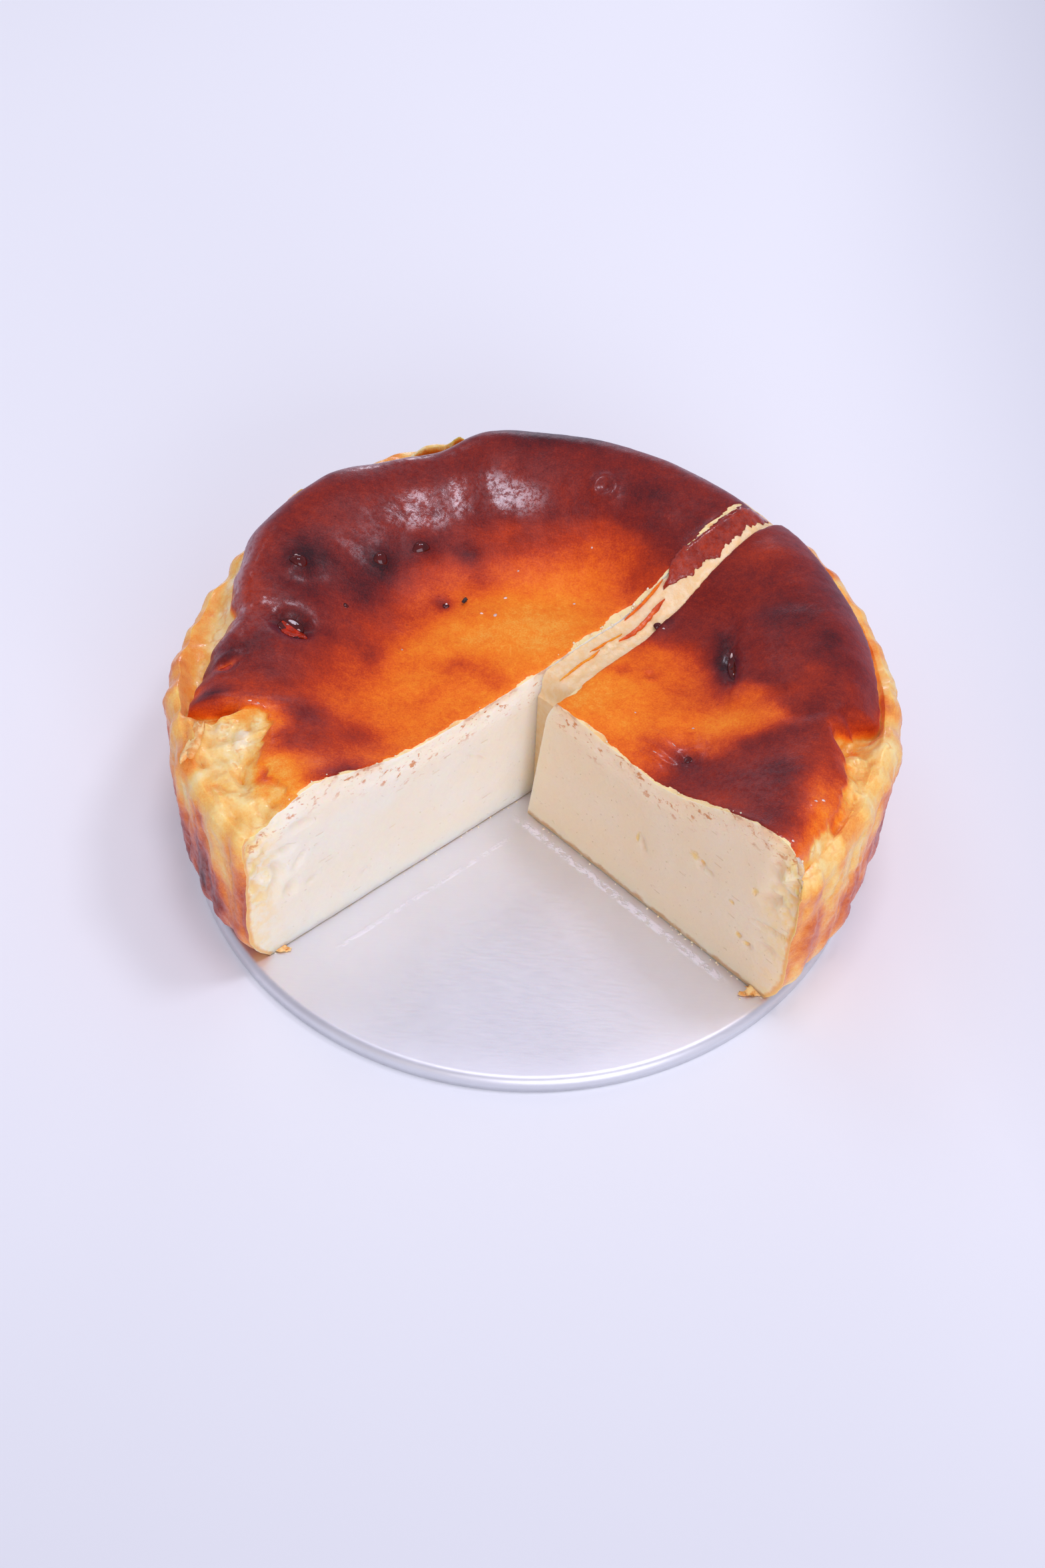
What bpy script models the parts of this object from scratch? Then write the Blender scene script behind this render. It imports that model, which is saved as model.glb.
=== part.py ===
"""Burnt-top cheesecake, cut into a half and a quarter, on its tin's loose base. Sizes are in millimetres."""

import math

import bpy
import numpy as np
from mathutils import Vector, noise

# Loose base of the tin: a disc of thin sheet with a turned-down rim.
BASE_RADIUS = 75.0
BASE_HEIGHT = 4.0
BASE_SHEET = 0.9
BASE_ROUND = 1.7
BASE_SEGMENTS = 96
BASE_ARC_STEPS = 3

# Cake, both pieces.
CAKE_FLOOR = 4.3
TUCK_HEIGHT = 10.0
TUCK_DEPTH = 3.8
EDGE_INSETS = (2.3, 0.8, 0.1)
LEDGE_RINGS = 4
CRUST_RINGS = 18
STEP_WIDTH = 0.7
BEVEL_SHARE = 0.15
WALL_LEVELS = (0.0, 0.035, 0.09, 0.18, 0.3, 0.43, 0.56, 0.69, 0.81, 0.91, 1.0)

# Tables hold (azimuth in degrees, value in mm) about the piece's own wall centre.
HALF = {
    "name": "half_cake",
    "columns": 92,
    "centre": (-3.0, 1.5),
    "wall": 73.4,
    "tip_top": (0.2, 0.5),
    "tip_base": (0.2, 0.5),
    "bevel": (-0.80, 0.90),
    "angles_top": (41.7, 221.7),
    "angles_base": (41.7, 221.7),
    "middle": 41.6,
    "rise_from": [(42, 20), (100, 22), (180, 24), (222, 27), (300, 24)],
    "crest": [(43, 55.5), (62, 56.0), (80, 56.6), (98, 56.4), (111, 54.0), (122, 54.8), (134, 56.0),
              (150, 55.0), (163, 53.5), (172, 51.0), (182, 52.0), (193, 50.5), (206, 49.4), (224, 49.2),
              (300, 52)],
    "crest_at": [(43, 61), (62, 60), (80, 59), (98, 59), (111, 57), (122, 59), (134, 61), (150, 61),
                 (163, 60), (172, 57), (182, 58), (193, 60), (206, 54), (224, 55), (300, 60)],
    "crust_to": [(43, 68.5), (62, 67.5), (80, 67.5), (98, 68), (109, 64.6), (119, 65.5), (128, 68),
                 (150, 68.5),
                 (161, 65.6), (167, 63.8), (171, 61.2), (175, 62.4), (181, 64.7), (186, 66.1), (190, 68),
                 (194, 70.2), (197, 60.2), (199, 55.0), (202.5, 53.0), (206.6, 56.6), (212, 59.5),
                 (224, 58.5),
                 (300, 66)],
    "crust_end": [(43, 50), (80, 49.5), (109, 47.0), (132, 48), (150, 48), (172, 46.5), (190, 45.5),
                  (196, 46.5), (205, 48.4), (224, 48.6), (300, 48)],
    "step": [(43, 2.2), (150, 2.4), (180, 3.0), (191, 2.6), (198, 0.7), (224, 0.5), (300, 1.5)],
    "ridge": [(43, 46.5), (80, 45.0), (104, 44), (118, 44.5), (140, 43.5), (160, 42), (174, 42.5),
              (184, 45), (192, 47.5), (200, 47), (210, 46), (224, 45), (300, 45)],
    "trough": [(43, 1.5), (150, 1.6), (180, 2.2), (194, 1.2), (224, 0.4), (300, 1)],
    "bulge": [(43, 0), (120, 0), (140, -1.0), (160, -1.3), (172, -0.3), (190, 0.6), (203, 0.5), (224, 0),
              (300, 0)],
    "bumps": [(13, 12, 10, 1.5), (33, 30, 9, 1.2), (-51, 7, 3.2, -1.8), (-63.5, -4, 5, -1.6),
              (-51, 22, 2.6, 1.0), (-34, 29, 2.4, 0.8), (-25, 33.5, 2.6, 0.8), (14, 48.5, 3, 0.9),
              (-40, 20, 7, 0.7), (-42, -26, 9, -0.9), (-15, 35, 5, -0.5), (-5, 20, 13, 0.8)],
    "pleats": [(46, 1.0, 2.6), (55, 0.7, 2.2), (63, 1.2, 3.0), (74, 0.8, 2.4), (83, 1.1, 2.6),
               (95, 1.3, 3.2),
               (104, 0.9, 2.2), (113, 1.2, 3.0), (124, 0.8, 2.4), (133, 1.3, 2.8), (144, 0.9, 2.6),
               (153, 1.1, 2.4), (163, 1.3, 3.0), (172, 1.0, 2.2), (181, 1.4, 2.6), (189, 1.5, 2.2),
               (196, 1.2, 2.4), (203, 1.4, 2.2), (210, 0.9, 2.4), (216, 1.2, 2.2), (222, 0.8, 2.0)],
    "seed": 3.1,
}
SLICE = {
    "name": "quarter_slice",
    "columns": 50,
    "centre": (3.2, -2.2),
    "wall": 73.0,
    "tip_top": (4.0, -6.1),
    "tip_base": (0.4, -5.0),
    "bevel": (1.5, 0.02),
    "angles_top": (-43.6, 46.3),
    "angles_base": (-42.4, 43.5),
    "middle": 43.0,
    "rise_from": [(-45, 33), (0, 28), (46, 26), (180, 28)],
    "crest": [(-45, 54.0), (-25, 53.6), (-10, 54.2), (10, 54.2), (30, 53.5), (48, 52.5), (180, 52)],
    "crest_at": [(-45, 65), (-25, 60), (-10, 59), (10, 59), (30, 58.5), (48, 59), (180, 60)],
    "crust_to": [(-45, 70), (-38, 68.8), (-32, 68.0), (-25, 66.8), (-20, 64.8), (-15, 60.8), (-11.5, 64),
                 (-8.3, 69.4), (7, 68.8), (25, 68.2), (41, 69), (50, 69), (180, 67)],
    "crust_end": [(-45, 52), (-30, 51.5), (-20, 50), (-8, 47.5), (10, 48.5), (30, 49), (50, 48.5),
                  (180, 48)],
    "step": [(-45, 0.6), (-24, 0.8), (-14, 1.2), (-8, 2.8), (20, 2.6), (50, 2.2), (180, 2)],
    "ridge": [(-45, 46.5), (-30, 48), (-15, 49), (-5, 47), (8, 45), (25, 44.5), (50, 45), (180, 45)],
    "trough": [(-45, 0.4), (-20, 0.9), (-8, 1.8), (20, 1.6), (50, 1.4), (180, 1)],
    "bulge": [(-45, 0), (-20, 0.3), (-8, 1.2), (6, 1.2), (20, 0.6), (50, 0), (180, 0)],
    "bumps": [(27, 17.5, 3.6, 1.3), (34.8, 12, 4.2, 1.3), (41.6, 5, 2.2, -0.9), (52, 6, 8, 0.9),
              (33, -19.5, 4.2, -1.0), (27, -17, 4.5, 0.7), (57, -13, 6, -0.6), (48, -32, 8, 0.6)],
    "pleats": [(-42, 1.2, 2.4), (-34, 0.9, 2.2), (-27, 1.3, 2.6), (-19, 1.0, 2.2), (-12, 1.3, 2.4),
               (-3, 1.1, 2.8),
               (5, 1.3, 2.4), (13, 0.9, 2.6), (21, 1.2, 2.4), (30, 0.8, 2.4), (38, 1.1, 2.6),
               (46, 0.8, 2.4)],
    "seed": 8.7,
}

CRUST_COLOUR = (0.42, 0.13, 0.045, 1.0)
SLICE_COLOUR = (0.45, 0.15, 0.05, 1.0)
METAL_COLOUR = (0.80, 0.78, 0.82, 1.0)


def clear_scene():
    """Removes every object that the startup scene holds."""
    for obj in list(bpy.data.objects):
        bpy.data.objects.remove(obj, do_unlink=True)


def smooth(share):
    """Smoothstep of a share, held between 0 and 1."""
    share = min(max(share, 0.0), 1.0)
    return share * share * (3.0 - 2.0 * share)


def around(table, azimuth):
    """The table's value at an azimuth in degrees, eased between its entries and round the circle."""
    turned = (azimuth - table[0][0]) % 360.0 + table[0][0]
    closed = table + [(table[0][0] + 360.0, table[0][1])]
    for (from_deg, from_value), (to_deg, to_value) in zip(closed, closed[1:]):
        if turned <= to_deg:
            return from_value + (to_value - from_value) * smooth((turned - from_deg) / (to_deg - from_deg))
    return table[0][1]


def polar(spec, x, y):
    """Radius and azimuth in degrees of a plan point about the piece's wall centre."""
    dx, dy = x - spec["centre"][0], y - spec["centre"][1]
    return math.hypot(dx, dy), math.degrees(math.atan2(dy, dx))


def wobble(spec, x, y, z, size):
    """Seeded noise of about -1 to 1 with features of the given size."""
    return noise.noise(Vector((x, y, z)) / size + Vector((spec["seed"], 1.7 * spec["seed"], 0.0)))


def crust_height(spec, x, y):
    """Height of the browned skin: sunk in the middle, raised towards the rim, rolled over at its edge."""
    radius, azimuth = polar(spec, x, y)
    crest, crest_at = around(spec["crest"], azimuth), around(spec["crest_at"], azimuth)
    rise_from = around(spec["rise_from"], azimuth)
    if radius <= crest_at:
        share = (radius - rise_from) / (crest_at - rise_from)
        height = spec["middle"] + (crest - spec["middle"]) * smooth(share)
    else:
        width = max(around(spec["crust_to"], azimuth) - crest_at, 1.5)
        height = crest - (crest - around(spec["crust_end"], azimuth)) * ((radius - crest_at) / width) ** 2
    for bump_x, bump_y, size, rise in spec["bumps"]:
        height += rise * math.exp(-((x - bump_x) ** 2 + (y - bump_y) ** 2) / size**2)
    return height + 0.9 * wobble(spec, x, y, 0.0, 19.0) + 0.3 * wobble(spec, x, y, 5.0, 7.0)


def ledge_height(spec, x, y):
    """Height of the pale band between the edge of the skin and the top of the wall."""
    radius, azimuth = polar(spec, x, y)
    inner = around(spec["crust_to"], azimuth)
    share = (radius - inner) / (spec["wall"] - EDGE_INSETS[0] - inner)
    edge_x = spec["centre"][0] + inner * math.cos(math.radians(azimuth))
    edge_y = spec["centre"][1] + inner * math.sin(math.radians(azimuth))
    start = crust_height(spec, edge_x, edge_y) - around(spec["step"], azimuth)
    height = start + (around(spec["ridge"], azimuth) - start) * smooth(share)
    height -= around(spec["trough"], azimuth) * math.sin(math.pi * min(max(share, 0.0), 1.0))
    return height + min(max(share, 0.0), 0.5) * 2.2 * wobble(spec, x, y, 9.0, 4.6)


def wall_radius(spec, azimuth, z):
    """Radius of the pleated wall, tucked in at its foot."""
    radius = spec["wall"] + around(spec["bulge"], azimuth) + 0.6 * wobble(spec, azimuth, z, 3.0, 24.0)
    for pleat_at, out, width in spec["pleats"]:
        slant = pleat_at + 1.6 * wobble(spec, z, pleat_at, 0.0, 22.0)
        radius += out * math.exp(-(((azimuth - slant + 180) % 360 - 180) / width) ** 2)
    tuck = max(0.0, 1.0 - (z - CAKE_FLOOR) / TUCK_HEIGHT)
    return radius - TUCK_DEPTH * tuck * tuck


def reach(spec, tip, angle, level):
    """Distance from the tip, along the angle, to the wall's plan outline for a level of the wall."""
    share = WALL_LEVELS[level]
    inset = EDGE_INSETS[level] if level < len(EDGE_INSETS) else 0.0
    away = Vector((math.cos(angle), math.sin(angle)))
    distance = spec["wall"]
    for _ in range(12):
        _, azimuth = polar(spec, *(tip + away * distance))
        top = around(spec["ridge"], azimuth)
        target = wall_radius(spec, azimuth, CAKE_FLOOR + (top - CAKE_FLOOR) * (1.0 - share)) - inset
        radius, _ = polar(spec, *(tip + away * distance))
        distance += target - radius
    return distance


def tip_and_angle(spec, column, level):
    """Tip of the wedge and the direction of a column, at a level from the top (0) to the foot."""
    share = WALL_LEVELS[level]
    tip = Vector(spec["tip_top"]).lerp(Vector(spec["tip_base"]), share)
    tip += Vector(spec["bevel"]) * max(0.0, 1.0 - share / BEVEL_SHARE) ** 2
    turn = column / spec["columns"]
    top = spec["angles_top"][0] + (spec["angles_top"][1] - spec["angles_top"][0]) * turn
    base = spec["angles_base"][0] + (spec["angles_base"][1] - spec["angles_base"][0]) * turn
    return tip, math.radians(top + (base - top) * share)


def ring_shares(spec, column):
    """Shares of the way from the tip to the wall at which the rings lie, one of them on the skin's edge."""
    tip, angle = tip_and_angle(spec, column, 0)
    length = reach(spec, tip, angle, 0)
    away = Vector((math.cos(angle), math.sin(angle)))
    edge = 0.5 * length
    for sample in range(400):
        distance = length * (0.5 + 0.5 * sample / 400)
        radius, azimuth = polar(spec, *(tip + away * distance))
        if radius < around(spec["crust_to"], azimuth):
            edge = distance
    edge = min(edge, length - STEP_WIDTH - 1.2)
    shares = [edge / length * (ring / CRUST_RINGS) ** 0.9 for ring in range(CRUST_RINGS + 1)]
    start = (edge + STEP_WIDTH) / length
    return shares + [start + (1.0 - start) * ring / LEDGE_RINGS for ring in range(LEDGE_RINGS + 1)]


def cake_points(spec):
    """All points of a piece by key (column, ring, level), with only the outer ones made."""
    rings, last = CRUST_RINGS + LEDGE_RINGS + 1, len(WALL_LEVELS) - 1
    points = {}
    for column in range(spec["columns"] + 1):
        shares = ring_shares(spec, column)
        tops = []
        tip, angle = tip_and_angle(spec, column, 0)
        length = reach(spec, tip, angle, 0)
        for ring in range(rings + 1):
            plan = tip + Vector((math.cos(angle), math.sin(angle))) * length * shares[ring]
            tops.append((crust_height if ring <= CRUST_RINGS else ledge_height)(spec, plan.x, plan.y))
        on_face = column in (0, spec["columns"])
        for level in range(last + 1):
            tip, angle = tip_and_angle(spec, column, level)
            length = reach(spec, tip, angle, level)
            away = Vector((math.cos(angle), math.sin(angle)))
            for ring in range(rings + 1):
                if level and ring < rings and not on_face:
                    continue
                plan = tip + away * length * shares[ring]
                height = CAKE_FLOOR + (tops[ring] - CAKE_FLOOR) * (1.0 - WALL_LEVELS[level])
                points[(column, ring, level)] = (plan.x, plan.y, height)
    return points


def cake_faces(spec):
    """Faces of a piece as loops of keys, all facing outwards."""
    columns, rings, last = spec["columns"], CRUST_RINGS + LEDGE_RINGS + 1, len(WALL_LEVELS) - 1
    faces = []
    for column in range(columns):
        faces.append([(0, 0, 0), (column, 1, 0), (column + 1, 1, 0)])
        for ring in range(1, rings):
            faces.append([(column, ring, 0), (column, ring + 1, 0), (column + 1, ring + 1, 0),
                          (column + 1, ring, 0)])
        for level in range(last):
            faces.append([(column, rings, level), (column, rings, level + 1), (column + 1, rings, level + 1),
                          (column + 1, rings, level)])
    for ring in range(rings):
        for level in range(last):
            faces.append([(0, ring, level), (0, ring, level + 1), (0, ring + 1, level + 1),
                          (0, ring + 1, level)])
            faces.append([(columns, ring, level), (columns, ring + 1, level), (columns, ring + 1, level + 1),
                          (columns, ring, level + 1)])
    foot = [(columns, ring, last) for ring in range(rings)]
    foot += [(column, rings, last) for column in range(columns, 0, -1)]
    faces.append(foot + [(0, ring, last) for ring in range(rings, 0, -1)])
    return faces


def build_mesh(name, points, faces, material):
    """Makes one closed mesh object from points in millimetres."""
    mesh = bpy.data.meshes.new(name)
    mesh.from_pydata((np.asarray(points, float) * 0.001).tolist(), [], faces)
    mesh.materials.append(material)
    mesh.validate()
    obj = bpy.data.objects.new(name, mesh)
    bpy.context.scene.collection.objects.link(obj)
    return obj


def plain_material(name, colour, metallic, roughness):
    """A Principled material of one colour."""
    material = bpy.data.materials.new(name)
    material.use_nodes = True
    shader = material.node_tree.nodes["Principled BSDF"]
    shader.inputs["Base Color"].default_value = colour
    shader.inputs["Metallic"].default_value = metallic
    shader.inputs["Roughness"].default_value = roughness
    return material


def build_cake(spec, material):
    """Builds a piece of the cake; the tip is one point at each level for both of its cut faces."""
    points, order, indices = cake_points(spec), [], {}
    for key, point in points.items():
        column, ring, level = key
        shared = (0, 0, level) if ring == 0 else key
        if shared not in indices:
            indices[shared] = len(order)
            order.append(point)
        indices[key] = indices[shared]
    faces = [[indices[key] for key in loop] for loop in cake_faces(spec)]
    return build_mesh(spec["name"], order, faces, material)


def build_tin_base(material):
    """Builds the loose base by turning its profile: flat sheet, rounded edge, rim down to the table."""
    inner_round = BASE_ROUND - BASE_SHEET
    outer = [(BASE_RADIUS - BASE_ROUND * (1 - math.sin(t)), BASE_HEIGHT - BASE_ROUND * (1 - math.cos(t)))
             for t in (math.pi / 2 * step / BASE_ARC_STEPS for step in range(BASE_ARC_STEPS + 1))]
    inside = BASE_RADIUS - BASE_SHEET
    ceiling = BASE_HEIGHT - BASE_SHEET
    inner = [(inside, BASE_HEIGHT - BASE_ROUND), (inside - 0.3 * inner_round, ceiling - 0.3 * inner_round),
             (inside - inner_round, ceiling)]
    profile = outer + [(BASE_RADIUS, 0.0), (inside, 0.0)] + inner
    points = [(0.0, 0.0, BASE_HEIGHT), (0.0, 0.0, BASE_HEIGHT - BASE_SHEET)]
    for radius, height in profile:
        for segment in range(BASE_SEGMENTS):
            turn = 2 * math.pi * segment / BASE_SEGMENTS
            points.append((radius * math.cos(turn), radius * math.sin(turn), height))
    faces, rows = [], len(profile)
    for segment in range(BASE_SEGMENTS):
        following = (segment + 1) % BASE_SEGMENTS
        faces.append([0, 2 + segment, 2 + following])
        last = 2 + (rows - 1) * BASE_SEGMENTS
        faces.append([1, last + following, last + segment])
        for row in range(rows - 1):
            here, below = 2 + row * BASE_SEGMENTS, 2 + (row + 1) * BASE_SEGMENTS
            faces.append([here + segment, below + segment, below + following, here + following])
    return build_mesh("tin_base", points, faces, material)


def main():
    """Builds the three parts."""
    clear_scene()
    build_cake(HALF, plain_material("half_cake_crust", CRUST_COLOUR, 0.0, 0.45))
    build_cake(SLICE, plain_material("quarter_slice_crust", SLICE_COLOUR, 0.0, 0.45))
    build_tin_base(plain_material("tin_base_metal", METAL_COLOUR, 1.0, 0.35))


if __name__ == "__main__":
    main()
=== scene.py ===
"""Dresses a burnt-top cheesecake: browned skin, curdled rim, cut faces, crumbs and the tin's loose base.

Lengths are millimetres until a mesh is made, azimuths are degrees, and colours are sRGB from 0 to 255.
"""

import logging
import math
from dataclasses import dataclass
from enum import Enum
from typing import Callable

import bmesh
import bpy
import numpy as np
from mathutils import Matrix, Vector, noise


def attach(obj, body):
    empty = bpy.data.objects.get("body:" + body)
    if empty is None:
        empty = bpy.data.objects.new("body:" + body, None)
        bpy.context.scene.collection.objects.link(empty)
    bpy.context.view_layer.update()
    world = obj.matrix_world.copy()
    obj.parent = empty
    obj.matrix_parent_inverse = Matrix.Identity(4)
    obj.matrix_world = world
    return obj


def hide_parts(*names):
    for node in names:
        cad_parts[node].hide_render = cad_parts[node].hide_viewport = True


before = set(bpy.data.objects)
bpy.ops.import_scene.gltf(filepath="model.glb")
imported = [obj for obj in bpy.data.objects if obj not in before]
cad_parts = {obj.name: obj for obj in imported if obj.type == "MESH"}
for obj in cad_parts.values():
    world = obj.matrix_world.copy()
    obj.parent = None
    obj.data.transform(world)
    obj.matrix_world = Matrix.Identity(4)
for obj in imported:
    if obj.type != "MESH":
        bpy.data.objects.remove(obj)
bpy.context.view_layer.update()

Array = np.ndarray
Pair = tuple[float, float]
Table = tuple[Pair, ...]
Colour = tuple[float, float, float]
Socket = bpy.types.NodeSocket

LOG = logging.getLogger("cheesecake")
MM = 0.001
BODY = "root"

# Sizes shared by both pieces of cake.
CAKE_FLOOR = 4.3
TUCK_HEIGHT = 10.0
TUCK_DEPTH = 3.8
EDGE_SHARES = (0.0, 0.035, 0.09, 0.18)
EDGE_INSETS = (2.3, 0.8, 0.1, 0.0)
STEP_WIDTH = 0.7
BEVEL_SHARE = 0.15
SKIN_THICKNESS = 0.55
WALL_PER_DEGREE = 1.28  # millimetres of wall to a degree of azimuth
SEAM_MARGIN = 30.0  # degrees by which the azimuth's seam lies outside a wedge
PATTERN_UNIT = 100.0  # millimetres to a unit of the flat pattern
CUT_EDGE_ANGLE = 58.0  # degrees past which an edge of a wedge is drawn sharp
SHEET_EDGE_ANGLE = 50.0


class Side(Enum):
    """The parts of a wedge's surface."""

    TOP = 0
    WALL = 1
    CUT = 2
    FOOT = 3


# ------------------------------------------------------------------------------
# Small numeric helpers
# ------------------------------------------------------------------------------


def smooth(share: Array) -> Array:
    """Eases a share of 0 to 1, and holds it between them."""
    held = np.clip(share, 0.0, 1.0)
    return held * held * (3.0 - 2.0 * held)


def around(table: Table, azimuth: Array) -> Array:
    """Reads a table of (azimuth, value) pairs, eased between its entries and round the circle.

    Args:
        table: Pairs in rising order of azimuth.
        azimuth: Degrees at which to read it.

    Returns:
        The value at each azimuth.
    """
    closed = np.array(table + ((table[0][0] + 360.0, table[0][1]),))
    turned = (np.asarray(azimuth, float) - closed[0, 0]) % 360.0 + closed[0, 0]
    after = np.clip(np.searchsorted(closed[:, 0], turned), 1, len(closed) - 1)
    start, end = closed[after - 1], closed[after]
    share = smooth((turned - start[..., 0]) / (end[..., 0] - start[..., 0]))
    return start[..., 1] + (end[..., 1] - start[..., 1]) * share


def grain(x: Array, y: Array, z: Array | float, size: float, seed: float) -> Array:
    """Seeded noise of about -1 to 1.

    Args:
        x: First coordinate.
        y: Second coordinate.
        z: Third coordinate.
        size: Size of its features.
        seed: Shifts the pattern.

    Returns:
        The noise at each point.
    """
    stacked = np.stack(np.broadcast_arrays(x, y, z), -1) / size + (seed, 1.7 * seed, 0.0)
    flat = [noise.noise(point) for point in stacked.reshape(-1, 3).tolist()]
    return np.array(flat).reshape(stacked.shape[:-1])


def curds(x: Array, y: Array, z: Array | float, size: float, seed: float) -> Array:
    """Rounded lumps with creases between them.

    Args:
        x: First coordinate.
        y: Second coordinate.
        z: Third coordinate.
        size: Size of a lump.
        seed: Shifts the pattern.

    Returns:
        Heights of about -1 in a crease to 1 on a lump.
    """
    first = np.abs(grain(x, y, z, size, seed))
    second = np.abs(grain(x, y, z, size * 0.47, seed + 5.0))
    return 3.2 * first + 1.3 * second - 1.0


def out_from(tip: Array, angle: Array, distance: Array) -> tuple[Array, Array]:
    """Plan x and y at a distance from a tip, along an angle in radians."""
    return tip[..., 0] + np.cos(angle) * distance, tip[..., 1] + np.sin(angle) * distance


def level_height(top: Array, share: Array) -> Array:
    """Height of a level that lies a share of the way down from a top to the foot of the cake."""
    return CAKE_FLOOR + (top - CAKE_FLOOR) * (1.0 - share)


def quads(ids: Array) -> list[list[int]]:
    """Four-sided faces of a grid of point numbers."""
    return np.stack([ids[:-1, :-1], ids[:-1, 1:], ids[1:, 1:], ids[1:, :-1]], -1).reshape(-1, 4).tolist()


def put_node(tree: bpy.types.NodeTree, kind: str, inputs: dict | None, settings: dict) -> bpy.types.Node:
    """Adds a node to a tree.

    Args:
        tree: The tree.
        kind: Type of the node.
        inputs: Sockets or plain values by input name or number.
        settings: Properties of the node.

    Returns:
        The node.
    """
    made = tree.nodes.new(kind)
    for name, value in settings.items():
        setattr(made, name, value)
    for name, value in (inputs or {}).items():
        feed(tree, made.inputs[name], value)
    return made


def feed(tree: bpy.types.NodeTree, socket: Socket, value: Socket | float | tuple) -> None:
    """Links an input to a socket, or sets it to a plain value.

    Args:
        tree: Tree that holds them.
        socket: The input.
        value: The socket or the plain value.
    """
    if isinstance(value, Socket):
        tree.links.new(value, socket)
    else:
        socket.default_value = value


def linear(colour: Colour) -> tuple[float, float, float, float]:
    """Scene-linear colour with alpha, from sRGB of 0 to 255."""
    shares = [channel / 255.0 for channel in colour]
    return (*[s / 12.92 if s <= 0.04045 else ((s + 0.055) / 1.055) ** 2.4 for s in shares], 1.0)


# ------------------------------------------------------------------------------
# Marks that are placed on the top of the cake
# ------------------------------------------------------------------------------


@dataclass(frozen=True)
class Dab:
    """A soft oval mark on the top: browning, gloss or relief."""

    x: float
    y: float
    wide: float
    deep: float
    turn: float
    amount: float
    hardness: float = 2.0

    def at(self, x: Array, y: Array) -> Array:
        """Strength of the mark at plan points.

        Args:
            x: Plan x.
            y: Plan y.

        Returns:
            The amount, fading out past the oval.
        """
        turn = math.radians(self.turn)
        along = (x - self.x) * math.cos(turn) + (y - self.y) * math.sin(turn)
        across = (y - self.y) * math.cos(turn) - (x - self.x) * math.sin(turn)
        distance = np.sqrt((along / self.wide) ** 2 + (across / self.deep) ** 2)
        return self.amount * np.exp(-(distance**self.hardness))


@dataclass(frozen=True)
class Blister:
    """A round lip about a sunken middle, left by a burst bubble."""

    x: float
    y: float
    radius: float
    width: float
    rise: float
    hollow: float

    def at(self, x: Array, y: Array) -> Array:
        """Height of the blister at plan points.

        Args:
            x: Plan x.
            y: Plan y.

        Returns:
            Millimetres above the skin about it.
        """
        distance = np.hypot(x - self.x, y - self.y)
        lip = self.rise * np.exp(-(((distance - self.radius) / self.width) ** 2))
        return lip - self.hollow * np.exp(-((distance / (0.75 * self.radius)) ** 2))


@dataclass(frozen=True)
class Fold:
    """A line on the top along which the skin steps up, with a soft far side."""

    line: tuple[Pair, ...]
    rise: float
    width: float
    fade: float

    def at(self, x: Array, y: Array) -> Array:
        """Height that the fold adds at plan points.

        Args:
            x: Plan x.
            y: Plan y.

        Returns:
            Millimetres, on the side of larger x.
        """
        ends = np.array(sorted(self.line, key=lambda point: point[1]))
        past = x - np.interp(y, ends[:, 1], ends[:, 0])
        inside = smooth((y - ends[0, 1] + 3) / 5) * smooth((ends[-1, 1] + 3 - y) / 5)
        return self.rise * inside * smooth(past / self.width + 0.5) * np.exp(-np.maximum(past, 0) / self.fade)


@dataclass(frozen=True)
class Glow:
    """Browning of the top: bright in the middle and dark beyond a line that the tables give."""

    x: float
    y: float
    reach: Table
    blur: Table
    middle: float
    gain: float
    dark: float

    def at(self, x: Array, y: Array) -> Array:
        """Browning at plan points, from 0 for cream to 1 for burnt.

        Args:
            x: Plan x.
            y: Plan y.

        Returns:
            The level of browning.
        """
        distance = np.hypot(x - self.x, y - self.y)
        azimuth = np.degrees(np.arctan2(y - self.y, x - self.x))
        reach, blur = around(self.reach, azimuth), around(self.blur, azimuth)
        ragged = 2.2 * grain(x, y, 3.0, 9.0, 4.4) + 1.0 * grain(x, y, 3.0, 3.5, 1.4)
        inside = self.middle + self.gain * np.clip(distance / reach, 0, 1.2) ** 2.2
        share = smooth((distance + ragged * np.clip(blur / 5, 0.4, 1.6) - reach) / blur + 0.5)
        return inside + (self.dark - inside) * share


# ------------------------------------------------------------------------------
# The two wedges of cake
# ------------------------------------------------------------------------------


@dataclass(frozen=True)
class WedgePlan:
    """Driving sizes and listed marks of one wedge of cake.

    The tables run over azimuth. The skin lies at middle, rises from the radius rise_from to crest at the
    radius crest_at, and falls to crust_end at crust_to, where it is torn off by the depth step. From there
    a band of curds dips by trough and ends in the ridge on top of the wall.
    """

    node: str
    title: str
    centre: Pair
    wall: float
    tip_top: Pair
    tip_base: Pair
    bevel: Pair
    angles_top: Pair
    angles_base: Pair
    middle: float
    rise_from: Table
    crest: Table
    crest_at: Table
    crust_to: Table
    crust_end: Table
    step: Table
    ridge: Table
    trough: Table
    bulge: Table
    bumps: tuple[tuple[float, float, float, float], ...]
    pleats: tuple[tuple[float, float, float], ...]
    seed: float
    scorch_and_shade: Table
    soft_tear: float
    curdled: float
    tear: Table
    bared_at: tuple[Dab, ...]
    tear_lines: tuple[Dab, ...]
    glow: Glow
    dabs: tuple[Dab, ...]
    relief: tuple[Dab | Blister | Fold, ...]
    shine: tuple[Dab, ...]
    gouges: tuple[Dab, ...]
    curd_marks: tuple[Dab, ...]
    curd_lumps: tuple[Dab, ...]
    columns: int


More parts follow.
